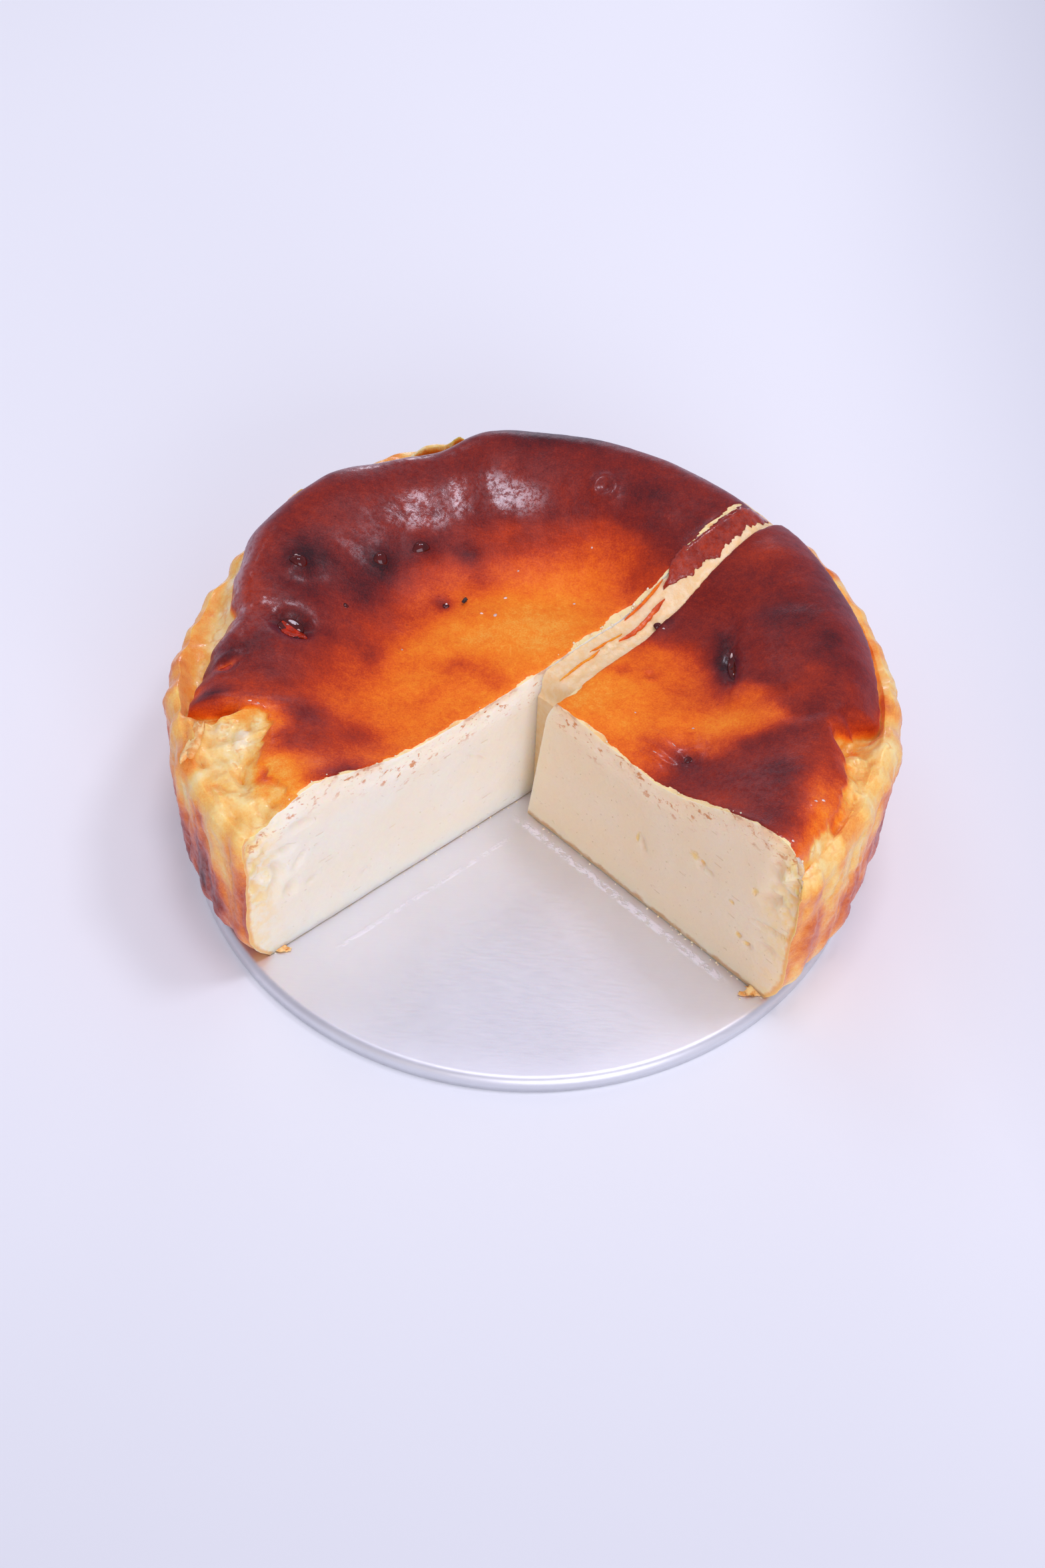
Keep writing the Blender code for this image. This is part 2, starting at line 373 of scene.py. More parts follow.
@dataclass
class CakeWedge:
    """One wedge of cake as a single closed mesh, with the levels of browning that its finish reads."""

    plan: WedgePlan
    skin_rings: int = 84
    step_rings: int = 3
    ledge_rings: int = 25
    levels: int = 62
    coarse_within: float = 13.0
    medium_within: float = 30.0
    outline_passes: int = 7
    ledge_shine: float = 0.55
    wall_shine: float = 0.45
    tip_ids: Array | None = None

    @property
    def rings(self) -> int:
        """Rings from the tip to the wall."""
        return self.skin_rings + self.step_rings + self.ledge_rings

    def polar(self, x: Array, y: Array) -> tuple[Array, Array]:
        """Radius and azimuth of plan points about the wall's centre.

        Args:
            x: Plan x.
            y: Plan y.

        Returns:
            Radius in millimetres and azimuth in degrees.
        """
        dx, dy = x - self.plan.centre[0], y - self.plan.centre[1]
        first = self.plan.scorch_and_shade[0][0] - SEAM_MARGIN
        return np.hypot(dx, dy), (np.degrees(np.arctan2(dy, dx)) - first) % 360.0 + first

    def skin_edge(self, azimuth: Array) -> Array:
        """Radius of the skin's edge, ragged where it is torn.

        Args:
            azimuth: Degrees about the wall's centre.

        Returns:
            The radius at each azimuth.
        """
        torn = around(self.plan.tear, azimuth)
        ragged = (0.25 + 1.0 * torn) * grain(azimuth, 0.0, 2.0, 1.9, self.plan.seed)
        ragged += (0.15 + 0.35 * torn) * grain(azimuth, 0.0, 6.0, 0.8, self.plan.seed)
        return around(self.plan.crust_to, azimuth) + ragged

    def skin_height(self, x: Array, y: Array) -> Array:
        """Height of the browned skin before its small relief.

        Args:
            x: Plan x.
            y: Plan y.

        Returns:
            Height above the table.
        """
        plan = self.plan
        radius, azimuth = self.polar(x, y)
        crest, crest_at = around(plan.crest, azimuth), around(plan.crest_at, azimuth)
        rise_from = around(plan.rise_from, azimuth)
        inner = plan.middle + (crest - plan.middle) * smooth((radius - rise_from) / (crest_at - rise_from))
        width = np.maximum(around(plan.crust_to, azimuth) - crest_at, 1.5)
        outer = crest - (crest - around(plan.crust_end, azimuth)) * ((radius - crest_at) / width) ** 2
        height = np.where(radius <= crest_at, inner, outer)
        for bump_x, bump_y, size, rise in plan.bumps:
            height += rise * np.exp(-((x - bump_x) ** 2 + (y - bump_y) ** 2) / size**2)
        return height + 0.9 * grain(x, y, 0.0, 19.0, plan.seed) + 0.3 * grain(x, y, 5.0, 7.0, plan.seed)

    def cut_distance(self, x: Array, y: Array) -> Array:
        """Distance in plan to the nearer of the two cut edges of the top.

        Args:
            x: Plan x.
            y: Plan y.

        Returns:
            Millimetres, 0 on the edge.
        """
        nearest = np.full(np.shape(x), np.inf)
        for face in (0, 1):
            tip, angle = self.tip_and_angle(np.array(float(face)), np.array(0.0))
            across = (x - tip[0]) * -math.sin(angle) + (y - tip[1]) * math.cos(angle)
            nearest = np.minimum(nearest, np.abs(across))
        return nearest

    def bared(self, x: Array, y: Array) -> Array:
        """Where the knife has dragged the skin off along the cut edges.

        Args:
            x: Plan x.
            y: Plan y.

        Returns:
            0 under skin to 1 on bare cream.
        """
        seed = self.plan.seed
        width = 0.12 + 1.1 * grain(x, y, 1.0, 6.5, seed) + 0.9 * grain(x, y, 1.0, 2.6, seed)
        for mark in self.plan.bared_at:
            width += mark.at(x, y)
        bare = smooth((np.clip(width, 0.0, 3.2) - self.cut_distance(x, y)) / 0.6 + 0.5)
        for line in self.plan.tear_lines:
            bare = np.maximum(bare, smooth((line.at(x, y) + 0.3 * grain(x, y, 2.0, 1.6, seed) - 0.4) / 0.3))
        return bare

    def skin_surface(self, x: Array, y: Array) -> Array:
        """Height of the skin with its relief, and of the bare cream beside the cuts.

        Args:
            x: Plan x.
            y: Plan y.

        Returns:
            Height above the table.
        """
        height = self.skin_height(x, y)
        height += 0.10 * grain(x, y, 2.0, 4.2, self.plan.seed) + 0.05 * grain(x, y, 2.0, 1.9, self.plan.seed)
        for mark in self.plan.relief:
            height += mark.at(x, y)
        bare = self.bared(x, y)
        crumbly = 0.14 * curds(x, y, 0.0, 2.4, self.plan.seed) + 0.08 * curds(x, y, 3.0, 1.2, self.plan.seed)
        return height - bare * (0.6 * SKIN_THICKNESS - crumbly)

    def curd_relief(self, x: Array, y: Array) -> Array:
        """Relief of the torn curd: chunks with creases, and finer lumps on them.

        Args:
            x: Plan x.
            y: Plan y.

        Returns:
            Millimetres above the band.
        """
        seed = self.plan.seed
        chunks = 0.60 * curds(x, y, 0.0, 8.4, seed) + 0.34 * curds(x, y, 4.0, 4.0, seed)
        pits = np.exp(-((grain(x, y, 6.0, 2.6, seed) - 0.55) ** 2) / 0.015)
        return self.plan.curdled * (chunks + 0.12 * curds(x, y, 8.0, 1.7, seed) - 0.5 * pits)

    def ledge_surface(self, x: Array, y: Array) -> Array:
        """Height of the curdled band between the skin's edge and the top of the wall.

        Args:
            x: Plan x.
            y: Plan y.

        Returns:
            Height above the table.
        """
        plan = self.plan
        radius, azimuth = self.polar(x, y)
        inner = around(plan.crust_to, azimuth)
        share = np.clip((radius - inner) / (plan.wall - EDGE_INSETS[0] - inner), 0.0, 1.0)
        edge_x = plan.centre[0] + inner * np.cos(np.radians(azimuth))
        edge_y = plan.centre[1] + inner * np.sin(np.radians(azimuth))
        start = self.skin_height(edge_x, edge_y) - around(plan.step, azimuth)
        height = start + (around(plan.ridge, azimuth) - start) * smooth(share)
        height -= around(plan.trough, azimuth) * np.sin(math.pi * share)
        height += np.minimum(share, 0.5) * 2.2 * grain(x, y, 9.0, 4.6, plan.seed)
        band = np.sin(math.pi * np.clip(share, 0.0, 1.0)) ** 0.7
        torn = around(plan.tear, azimuth)
        relief = self.curd_relief(x, y)
        for lump in plan.curd_lumps:
            height += smooth(share / 0.12) * smooth((1.0 - share) / 0.08) * lump.at(x, y)
        return height + band * (0.32 + 0.85 * torn) * relief - 0.3 * band * torn

    def wall_radius(self, azimuth: Array, z: Array) -> Array:
        """Radius of the pleated wall, tucked in at its foot.

        Args:
            azimuth: Degrees about the wall's centre.
            z: Height above the table.

        Returns:
            The radius at each point.
        """
        plan = self.plan
        radius = plan.wall + around(plan.bulge, azimuth) + 0.6 * grain(azimuth, z, 3.0, 24.0, plan.seed)
        fading = 0.75 + 0.55 * grain(azimuth, z, 13.0, 15.0, plan.seed)
        steps = np.linspace(0.0, 62.0, 63)
        for pleat_at, out, width in plan.pleats:
            sway = 1.6 * grain(steps, pleat_at, 0.0, 22.0, plan.seed)
            off = (azimuth - pleat_at - np.interp(z, steps, sway) + 180.0) % 360.0 - 180.0
            radius = radius + fading * out * np.exp(-((off / width) ** 2))
        tuck = np.maximum(0.0, 1.0 - (z - CAKE_FLOOR) / TUCK_HEIGHT)
        return radius - TUCK_DEPTH * tuck * tuck

    def wrinkles(self, azimuth: Array, z: Array) -> Array:
        """Fine creases that the lining paper pressed into the wall.

        Args:
            azimuth: Degrees about the wall's centre.
            z: Height above the table.

        Returns:
            Millimetres outwards.
        """
        along = azimuth * WALL_PER_DEGREE
        crease = np.abs(grain(along, z * 0.16, 4.0, 4.6, self.plan.seed))
        fine = np.abs(grain(along + 0.12 * z, z * 0.3, 8.0, 1.9, self.plan.seed))
        lumps = 0.45 * curds(along, z * 0.7, 14.0, 6.5, self.plan.seed)
        lumps += 0.12 * curds(along, z, 16.0, 2.2, 0.0)
        return 0.1 - 0.40 * np.exp(-crease * 14.0) - 0.10 * np.exp(-fine * 12.0) + 0.3 * crease + 0.6 * lumps

    def outline(self, tip: Array, angle: Array, share: Array) -> Array:
        """Distance from the tip, along an angle, to the wall.

        Args:
            tip: Tips of the wedge, with x and y last.
            angle: Directions in radians.
            share: Levels, from 0 at the top to 1 at the foot.

        Returns:
            Millimetres from the tip.
        """
        distance = np.full(np.shape(angle), self.plan.wall)
        inset = np.interp(share, EDGE_SHARES, EDGE_INSETS)
        for _ in range(self.outline_passes):
            radius, azimuth = self.polar(*out_from(tip, angle, distance))
            z = level_height(around(self.plan.ridge, azimuth), share)
            distance = distance + self.wall_radius(azimuth, z) - inset - radius
        _, azimuth = self.polar(*out_from(tip, angle, distance))
        z = level_height(around(self.plan.ridge, azimuth), share)
        return distance + self.wrinkles(azimuth, z) * smooth(share / 0.12)

    def tip_and_angle(self, turn: Array, share: Array) -> tuple[Array, Array]:
        """Tip of the wedge and direction of a column.

        Args:
            turn: Share of the way from the first cut face to the second.
            share: Levels, from 0 at the top to 1 at the foot.

        Returns:
            The tips, with x and y last, and the angles in radians.
        """
        plan = self.plan
        turn, share = np.broadcast_arrays(turn, share)
        top, base = np.array(plan.tip_top), np.array(plan.tip_base)
        tip = top + (base - top) * share[..., None]
        tip = tip + np.array(plan.bevel) * (np.maximum(0.0, 1.0 - share / BEVEL_SHARE) ** 2)[..., None]
        at_top = plan.angles_top[0] + (plan.angles_top[1] - plan.angles_top[0]) * turn
        at_base = plan.angles_base[0] + (plan.angles_base[1] - plan.angles_base[0]) * turn
        return tip, np.radians(at_top + (at_base - at_top) * share)

    def ring_shares(self, turn: Array) -> Array:
        """Shares of the way from tip to wall at which the rings lie, one of them on the skin's edge.

        Args:
            turn: Share of each column between the two cut faces.

        Returns:
            One row of shares for each column.
        """
        tip, angle = self.tip_and_angle(turn, np.zeros_like(turn))
        length = self.outline(tip, angle, np.zeros_like(turn))
        samples = np.linspace(0.5, 1.0, 401)
        radius, azimuth = self.polar(*out_from(tip[:, None], angle[:, None], length[:, None] * samples))
        inside = radius < self.skin_edge(azimuth)
        last = inside.shape[1] - 1 - np.argmax(inside[:, ::-1], axis=1)
        edge = np.minimum(length * samples[last], length - STEP_WIDTH - 1.2)
        inner = (edge / length)[:, None] * (np.arange(self.skin_rings + 1) / self.skin_rings) ** 0.93
        stepped = STEP_WIDTH * np.arange(1, self.step_rings + 1) / self.step_rings
        over = (edge[:, None] + stepped) / length[:, None]
        left = 1.0 - over[:, -1:]
        outer = over[:, -1:] + left * np.arange(1, self.ledge_rings + 1) / self.ledge_rings
        return np.concatenate([inner, over, outer], axis=1)

    def top_heights(self, x: Array, y: Array) -> Array:
        """Heights of the top's grid, stepping down at the skin's edge.

        Args:
            x: Plan x of each column and ring.
            y: Plan y of each column and ring.

        Returns:
            Heights above the table.
        """
        last = self.skin_rings
        heights = np.empty(x.shape)
        heights[:, : last + 1] = self.skin_surface(x[:, : last + 1], y[:, : last + 1])
        heights[:, last + 1 :] = self.ledge_surface(x[:, last + 1 :], y[:, last + 1 :])
        below = heights[:, last + self.step_rings]
        for ring in range(1, self.step_rings):
            share = smooth(np.array(ring / self.step_rings)) * 0.6 + 0.4 * ring / self.step_rings
            heights[:, last + ring] = heights[:, last] + (below - heights[:, last]) * share
        return heights

    def top_browning(self, x: Array, y: Array) -> Array:
        """Browning of the top's grid, with painted shade in the hollows of the torn curd.

        Args:
            x: Plan x of each column and ring.
            y: Plan y of each column and ring.

        Returns:
            0 for cream to 1 for burnt.
        """
        plan, last = self.plan, self.skin_rings
        radius, azimuth = self.polar(x, y)
        level = plan.glow.at(x, y)
        for dab in plan.dabs:
            level += dab.at(x, y)
        level += 0.035 * grain(x, y, 7.0, 11.0, plan.seed) + 0.03 * grain(x, y, 7.0, 4.0, plan.seed)
        edge = self.skin_edge(azimuth)
        torn = around(plan.tear, azimuth)
        inside, outside = self.from_edge(radius, azimuth)
        near_tear = np.maximum.reduce([around(plan.tear, azimuth + turn) for turn in (-5.0, 0.0, 5.0)])
        softness = near_tear * plan.soft_tear
        fade = smooth(1.0 - inside / (1.0 + 5.5 * softness)) ** 1.5
        level -= fade * (0.02 + 0.30 * softness)
        share = np.clip((radius - edge) / np.maximum(plan.wall - 2.3 - edge, 1.0), 0.0, 1.0)
        patch = grain(x, y, 11.0, 6.5, plan.seed) + 0.6 * grain(x, y, 12.0, 2.6, plan.seed)
        ledge = 0.13 - 0.06 * torn + (0.20 - 0.10 * torn) * smooth((share - 0.35) / 0.5)
        ledge += (0.16 - 0.09 * torn) * patch * (0.3 + share)
        # Painted shade and light: browner in the hollows of the torn curd and paler on its lumps.
        ledge -= (0.03 + 0.085 * torn) * np.clip(self.curd_relief(x, y), -1.6, 1.6)
        ledge += 0.26 * torn * np.exp(-outside / (0.8 + 1.4 * plan.soft_tear))
        for mark in plan.curd_marks:
            ledge += mark.at(x, y)
        ring = np.broadcast_to(np.arange(x.shape[1]), x.shape)
        blend = smooth((ring - last) / self.step_rings)
        return np.clip(level * (1.0 - blend) + ledge * blend, 0.0, 1.0)

    def from_edge(self, radius: Array, azimuth: Array) -> tuple[Array, Array]:
        """Distances from the edge of the skin, also where the edge runs outwards.

        Args:
            radius: Distances from the cake's centre.
            azimuth: Degrees about it.

        Returns:
            Millimetres from the nearest torn place, and from the nearest skin.
        """
        inside, outside = np.full(radius.shape, 99.0), np.full(radius.shape, 99.0)
        for turn in (-8.0, -5.5, -3.5, -2.0, -1.0, 0.0, 1.0, 2.0, 3.5, 5.5, 8.0):
            past = radius - self.skin_edge(azimuth + turn)
            aside = radius * math.radians(abs(turn))
            inside = np.minimum(inside, np.hypot(np.maximum(-past, 0.0), aside))
            outside = np.minimum(outside, np.hypot(np.maximum(past, 0.0), aside))
        return inside, outside

    def wall_browning(self, azimuth: Array, z: Array, share: Array, rim: Array) -> Array:
        """Browning of the wall.

        Args:
            azimuth: Degrees about the wall's centre.
            z: Height above the table.
            share: Levels, from 0 at the top to 1 at the foot.
            rim: Browning of the top's outermost ring.

        Returns:
            0 for cream to 1 for burnt.
        """
        along, seed = azimuth * WALL_PER_DEGREE, self.plan.seed
        broad = grain(along, z * 0.35, 21.0, 8.0, seed) + 0.5 * grain(along, z * 0.6, 22.0, 3.2, seed)
        pleat = self.wall_radius(azimuth, z) - self.wall_radius(azimuth + 2.6, z)
        streak = grain(along, z * 0.12, 23.0, 2.4, seed)
        level = 0.37 + 0.24 * broad + 0.06 * pleat + 0.10 * streak + 0.10 * smooth((share - 0.25) / 0.3)
        level += 0.10 * smooth((share - 0.93) / 0.05) - 0.12 * smooth((share - 0.72) / 0.16)
        # Browning lower down the wall; on the half's left-front wall it is partly painted shade.
        level += around(self.plan.scorch_and_shade, azimuth) * smooth((share - 0.25) / 0.35)
        blend = smooth(share / 0.16)
        return np.clip(rim * (1.0 - blend) + level * blend, 0.0, 1.0)

    def shine_of_top(self, x: Array, y: Array) -> Array:
        """Extra gloss of the top's grid, 0 to 1.

        Args:
            x: Plan x of each column and ring.
            y: Plan y of each column and ring.

        Returns:
            The gloss at each point.
        """
        level = np.zeros(x.shape)
        for dab in self.plan.shine:
            level += dab.at(x, y)
        level[:, self.skin_rings + 1 :] = self.ledge_shine
        return np.clip(level, 0.0, 1.0)

    def face_points(self, face: int, shares: Array, tops: Array) -> tuple[Array, Array, Array]:
        """Points of a cut face, with the knife's marks and the gouges in it.

        Args:
            face: 0 for the first cut face and 1 for the second.
            shares: Ring shares of its column.
            tops: Height of the top at each ring.

        Returns:
            Points by ring and level, distance from the tip, and depth below the top.
        """
        levels = self.level_shares()
        tip, angle = self.tip_and_angle(np.full(levels.shape, float(face)), levels)
        length = self.outline(tip, angle, levels)
        along = shares[:, None] * length[None, :]
        x, y = out_from(tip, angle, along)
        z = level_height(tops[:, None], levels[None, :])
        depth = tops[:, None] - z
        fade = smooth(along / 2.5) * smooth((length[None, :] - along) / 2.0) * smooth(depth / 1.5)
        fade = fade * (0.25 + 0.75 * smooth((z - CAKE_FLOOR) / 2.0))
        seed = self.plan.seed + 3.0 * face
        curdled = smooth((depth * 0.1 + along - length[None, :] + 9.0) / 7.0) * smooth((26.0 - depth) / 14.0)
        out = 0.16 * grain(along, z * 0.5, 1.0, 16.0, seed) + 0.06 * grain(along, z, 2.0, 3.0, seed)
        lumps = 0.70 * curds(along, z, 0.0, 4.8, seed) + 0.45 * curds(along, z, 5.0, 2.0, seed) - 1.0
        out += curdled * self.plan.curdled * lumps
        out += 0.35 * grain(along, 0.0, 7.0, 4.5, seed) * smooth((CAKE_FLOOR + 1.6 - z) / 1.6)
        lip = smooth((5.0 + 1.5 * grain(along, 0.0, 6.0, 7.0, seed) - depth) / 2.5)
        torn = 0.16 * curds(along, z * 1.6, 3.0, 3.0, seed) + 0.10 * curds(along, z, 4.0, 1.4, seed)
        out += lip * (torn - 0.22)
        if face == self.gouged_face():
            for gouge in self.plan.gouges:
                out += gouge.at(along, z)
        side = -1.0 if face == 0 else 1.0
        across = fade * out * side
        points = np.stack([x - np.sin(angle) * across, y + np.cos(angle) * across, z], -1)
        return points, along, depth

    def gouged_face(self) -> int:
        """The cut face that looks out over the open quarter."""
        return 1 if self.plan.node == "half_cake" else 0

    def level_shares(self) -> Array:
        """Levels of the wall and the cut faces, closer together near the top."""
        return (np.arange(self.levels + 1) / self.levels) ** 1.12

    def ring_strides(self, length: float) -> list[int]:
        """How many columns lie between the points of each ring: fewer points near the tip.

        Args:
            length: Distance from the tip to the wall.

        Returns:
            4, 2 or 1 for each ring.
        """
        strides = []
        for ring in range(self.rings + 1):
            away = length * (ring / self.rings)
            strides.append(4 if away < self.coarse_within else 2 if away < self.medium_within else 1)
        return strides

    def build(self, skin: bpy.types.Material, curd: bpy.types.Material) -> bpy.types.Object:
        """Makes the wedge.

        Args:
            skin: Finish of the top and the wall.
            curd: Finish of the cut faces.

        Returns:
            The finished object, standing for its solid.
        """
        plan, rings, columns = self.plan, self.rings, self.plan.columns
        turn = np.arange(columns + 1) / columns
        shares = self.ring_shares(turn)
        tip, angle = self.tip_and_angle(turn, np.zeros_like(turn))
        length = self.outline(tip, angle, np.zeros_like(turn))
        x, y = out_from(tip[:, None], angle[:, None], shares * length[:, None])
        tops, browning = self.top_heights(x, y), self.top_browning(x, y)
        shine, bare = self.shine_of_top(x, y), self.bared(x, y)
        bare[:, self.skin_rings + 1 :] = 0.0
        past = (np.arange(rings + 1) - self.skin_rings) / self.ledge_rings
        rind = np.broadcast_to(smooth((past - 0.25) / 0.6), bare.shape)
        patchwork = Patchwork()
        strides = self.ring_strides(float(length.mean()))
        ids = np.full((columns + 1, rings + 1), -1)
        for ring in range(rings + 1):
            used = np.arange(0, columns + 1, strides[ring]) if ring else np.array([0])
            points = np.stack([x[used, ring], y[used, ring], tops[used, ring]], -1)
            found = patchwork.add(points, brown=browning[used, ring], shine=shine[used, ring],
                                  bare=bare[used, ring], rind=rind[used, ring])
            ids[used, ring] = found
            if not ring:
                ids[:, 0] = found[0]
        self.cover_top(patchwork, ids, strides)
        walls = self.add_wall(patchwork, ids, browning[:, -1], turn, tops[:, -1])
        feet = []
        for face in (0, 1):
            feet.append(self.add_face(patchwork, face, ids, walls, shares, tops))
        loop = [int(v) for v in feet[1]] + [int(v) for v in walls[::-1, -1]][1:-1]
        loop += [int(v) for v in feet[0][::-1]][:-1]
        patchwork.cover([loop], Side.FOOT)
        obj = patchwork.finish(plan.title, (skin, curd), self.lay_flat)
        LOG.info("%s: %d faces", plan.title, len(obj.data.polygons))
        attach(obj, BODY)
        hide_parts(plan.node)
        return obj

    def cover_top(self, patchwork: "Patchwork", ids: Array, strides: list[int]) -> None:
        """Adds the faces of the top.

        Args:
            patchwork: Mesh under construction.
            ids: Point numbers by column and ring.
            strides: Columns between the points of each ring.
        """
        columns = self.plan.columns
        for ring in range(self.rings):
            near, far = (strides[1] if ring == 0 else strides[ring]), strides[ring + 1]
            for column in range(0, columns, near):
                outer = [int(ids[c, ring + 1]) for c in range(column, column + near + 1, far)]
                inner = [int(ids[column + near, ring]), int(ids[column, ring])] if ring else [int(ids[0, 0])]
                patchwork.cover([outer + inner], Side.TOP)

    def add_wall(self, patchwork: "Patchwork", ids: Array, rim: Array, turn: Array, tops: Array) -> Array:
        """Adds the outer wall.

        Args:
            patchwork: Mesh under construction.
            ids: Point numbers of the top.
            rim: Browning of the top's outermost ring.
            turn: Share of each column between the two cut faces.
            tops: Height of the outermost ring.

        Returns:
            Point numbers by column and level.
        """
        levels = self.level_shares()
        grid_turn, grid_share = np.meshgrid(turn, levels, indexing="ij")
        tip, angle = self.tip_and_angle(grid_turn, grid_share)
        x, y = out_from(tip, angle, self.outline(tip, angle, grid_share))
        z = level_height(tops[:, None], grid_share)
        _, azimuth = self.polar(x, y)
        brown = self.wall_browning(azimuth, z, grid_share, rim[:, None])
        points = np.stack([x, y, z], -1)[:, 1:].reshape(-1, 3)
        found = patchwork.add(points, brown=brown[:, 1:].ravel(), shine=np.full(len(points), self.wall_shine),
                              rind=np.ones(len(points)))
        walls = np.concatenate([ids[:, -1:], found.reshape(len(turn), -1)], axis=1)
        patchwork.cover_grid(walls, Side.WALL)
        return walls

    def add_face(self, patchwork: "Patchwork", face: int, ids: Array, walls: Array, shares: Array,
                 tops: Array) -> Array:
        """Adds a cut face.

        Args:
            patchwork: Mesh under construction.
            face: 0 for the first cut face and 1 for the second.
            ids: Point numbers of the top.
            walls: Point numbers of the wall.
            shares: Ring shares of every column.
            tops: Heights of every column and ring.

        Returns:
            Point numbers along the foot, from the tip to the wall.
        """
        column = face * self.plan.columns
        points, along, depth = self.face_points(face, shares[column], tops[column])
        grid = np.full(points.shape[:2], -1)
        grid[:, 0], grid[-1, :] = ids[column], walls[column]
        first = 0 if face == 0 else 1
        inner = points[first:-1, 1:]
        under = (np.arange(self.rings + 1) <= self.skin_rings)[:, None] * np.ones(len(self.level_shares()))
        skin = under * (1.0 - self.bared(points[:, :1, 0], points[:, :1, 1]))
        left = along[-1] - along
        found = patchwork.add(inner.reshape(-1, 3), depth=depth[first:-1, 1:].ravel(),
                              skin=skin[first:-1, 1:].ravel(), left=left[first:-1, 1:].ravel(),
                              shine=np.zeros(inner.shape[0] * inner.shape[1]))
        grid[first:-1, 1:] = found.reshape(inner.shape[:2])
        if face == 0:
            self.tip_ids = grid[0].copy()
        else:
            grid[0] = self.tip_ids
        patchwork.set_values(grid[:, 0], skin=skin[:, 0], left=left[:, 0])
        patchwork.set_values(grid[-1, :], depth=depth[-1], skin=skin[-1])
        patchwork.cover_grid(grid if face == 0 else grid[::-1], Side.CUT)
        return grid[:, -1]

    def lay_flat(self, points: Array, side: Array) -> Array:
        """Flat pattern coordinates that follow each side of the wedge.

        Args:
            points: Corner points of the faces.
            side: Side of the wedge that each corner is drawn for.

        Returns:
            Two coordinates for each corner.
        """
        _, azimuth = self.polar(points[:, 0], points[:, 1])
        low = self.plan.angles_top[0] - SEAM_MARGIN
        around_wall = np.radians((azimuth - low) % 360.0 + low) * self.plan.wall
        flat = np.stack([points[:, 0], points[:, 1]], -1)
        from_tip = np.hypot(points[:, 0] - self.plan.tip_base[0], points[:, 1] - self.plan.tip_base[1])
        for kind, along in ((Side.WALL, around_wall), (Side.CUT, from_tip)):
            chosen = side == kind.value
            flat[chosen] = np.stack([along, points[:, 2]], -1)[chosen]
        return flat / PATTERN_UNIT


class Patchwork:
    """Collects points, values on them and faces, and makes one mesh of them."""

    def __init__(self) -> None:
        """Starts empty."""
        self.points: list[Array] = []
        self.values: dict[str, dict[int, Array]] = {
            name: {} for name in ("brown", "shine", "bare", "rind", "depth", "skin", "left")
        }
        self.faces: list[list[int]] = []
        self.sides: list[int] = []
        self.count = 0
        self.fixes: list[tuple[str, Array, Array]] = []

    def add(self, points: Array, **values: Array) -> Array:
        """Adds points.

        Args:
            points: Rows of x, y and z.
            values: A value for each point, by name.

        Returns:
            The numbers of the new points.
        """
        start = self.count
        self.points.append(points)
        for name, value in values.items():
            self.values[name][start] = np.asarray(value, float)
        self.count += len(points)
        return np.arange(start, self.count)

    def set_values(self, ids: Array, **values: Array) -> None:
        """Sets values, by name, on points that exist."""
        for name, value in values.items():
            self.fixes.append((name, np.asarray(ids), np.asarray(value, float)))

    def cover(self, faces: list[list[int]], side: Side) -> None:
        """Adds faces, as loops of point numbers, to one side of the wedge."""
        self.faces += faces
        self.sides += [side.value] * len(faces)

    def cover_grid(self, ids: Array, side: Side) -> None:
        """Adds the faces of a grid of point numbers to one side of the wedge."""
        self.cover(quads(ids), side)

    def finish(self, title: str, materials: tuple[bpy.types.Material, ...],
               lay_flat: Callable[[Array, Array], Array]) -> bpy.types.Object:
        """Makes the object.

        Args:
            title: Name of the object.
            materials: Finish of the outside and finish of the cut faces.
            lay_flat: Function that gives each face corner its pattern coordinates.

        Returns:
            The object, linked to the scene.
        """
        points = np.concatenate(self.points)
        mesh = bpy.data.meshes.new(title)
        mesh.from_pydata((points * MM).tolist(), [], self.faces)
        for name, parts in self.values.items():
            filled = np.zeros(self.count)
            for start, value in parts.items():
                filled[start : start + len(value)] = value
            for fixed, ids, value in self.fixes:
                if fixed == name:
                    filled[ids] = value
            mesh.attributes.new(name, "FLOAT", "POINT").data.foreach_set("value", filled)
        sides = np.array(self.sides)
        mesh.polygons.foreach_set("material_index", (sides == Side.CUT.value).astype(np.int32))
        corners = np.empty(len(mesh.loops), np.int32)
        mesh.loops.foreach_get("vertex_index", corners)
        totals = np.empty(len(mesh.polygons), np.int32)
        mesh.polygons.foreach_get("loop_total", totals)
        flat = lay_flat(points[corners], np.repeat(sides, totals))
        mesh.uv_layers.new(name="Surface").data.foreach_set("uv", flat.astype(np.float32).ravel())
        for material in materials:
            mesh.materials.append(material)
        mesh.shade_smooth()
        mesh.set_sharp_from_angle(angle=math.radians(CUT_EDGE_ANGLE))
        mesh.validate()
        obj = bpy.data.objects.new(title, mesh)
        bpy.context.scene.collection.objects.link(obj)
        return obj


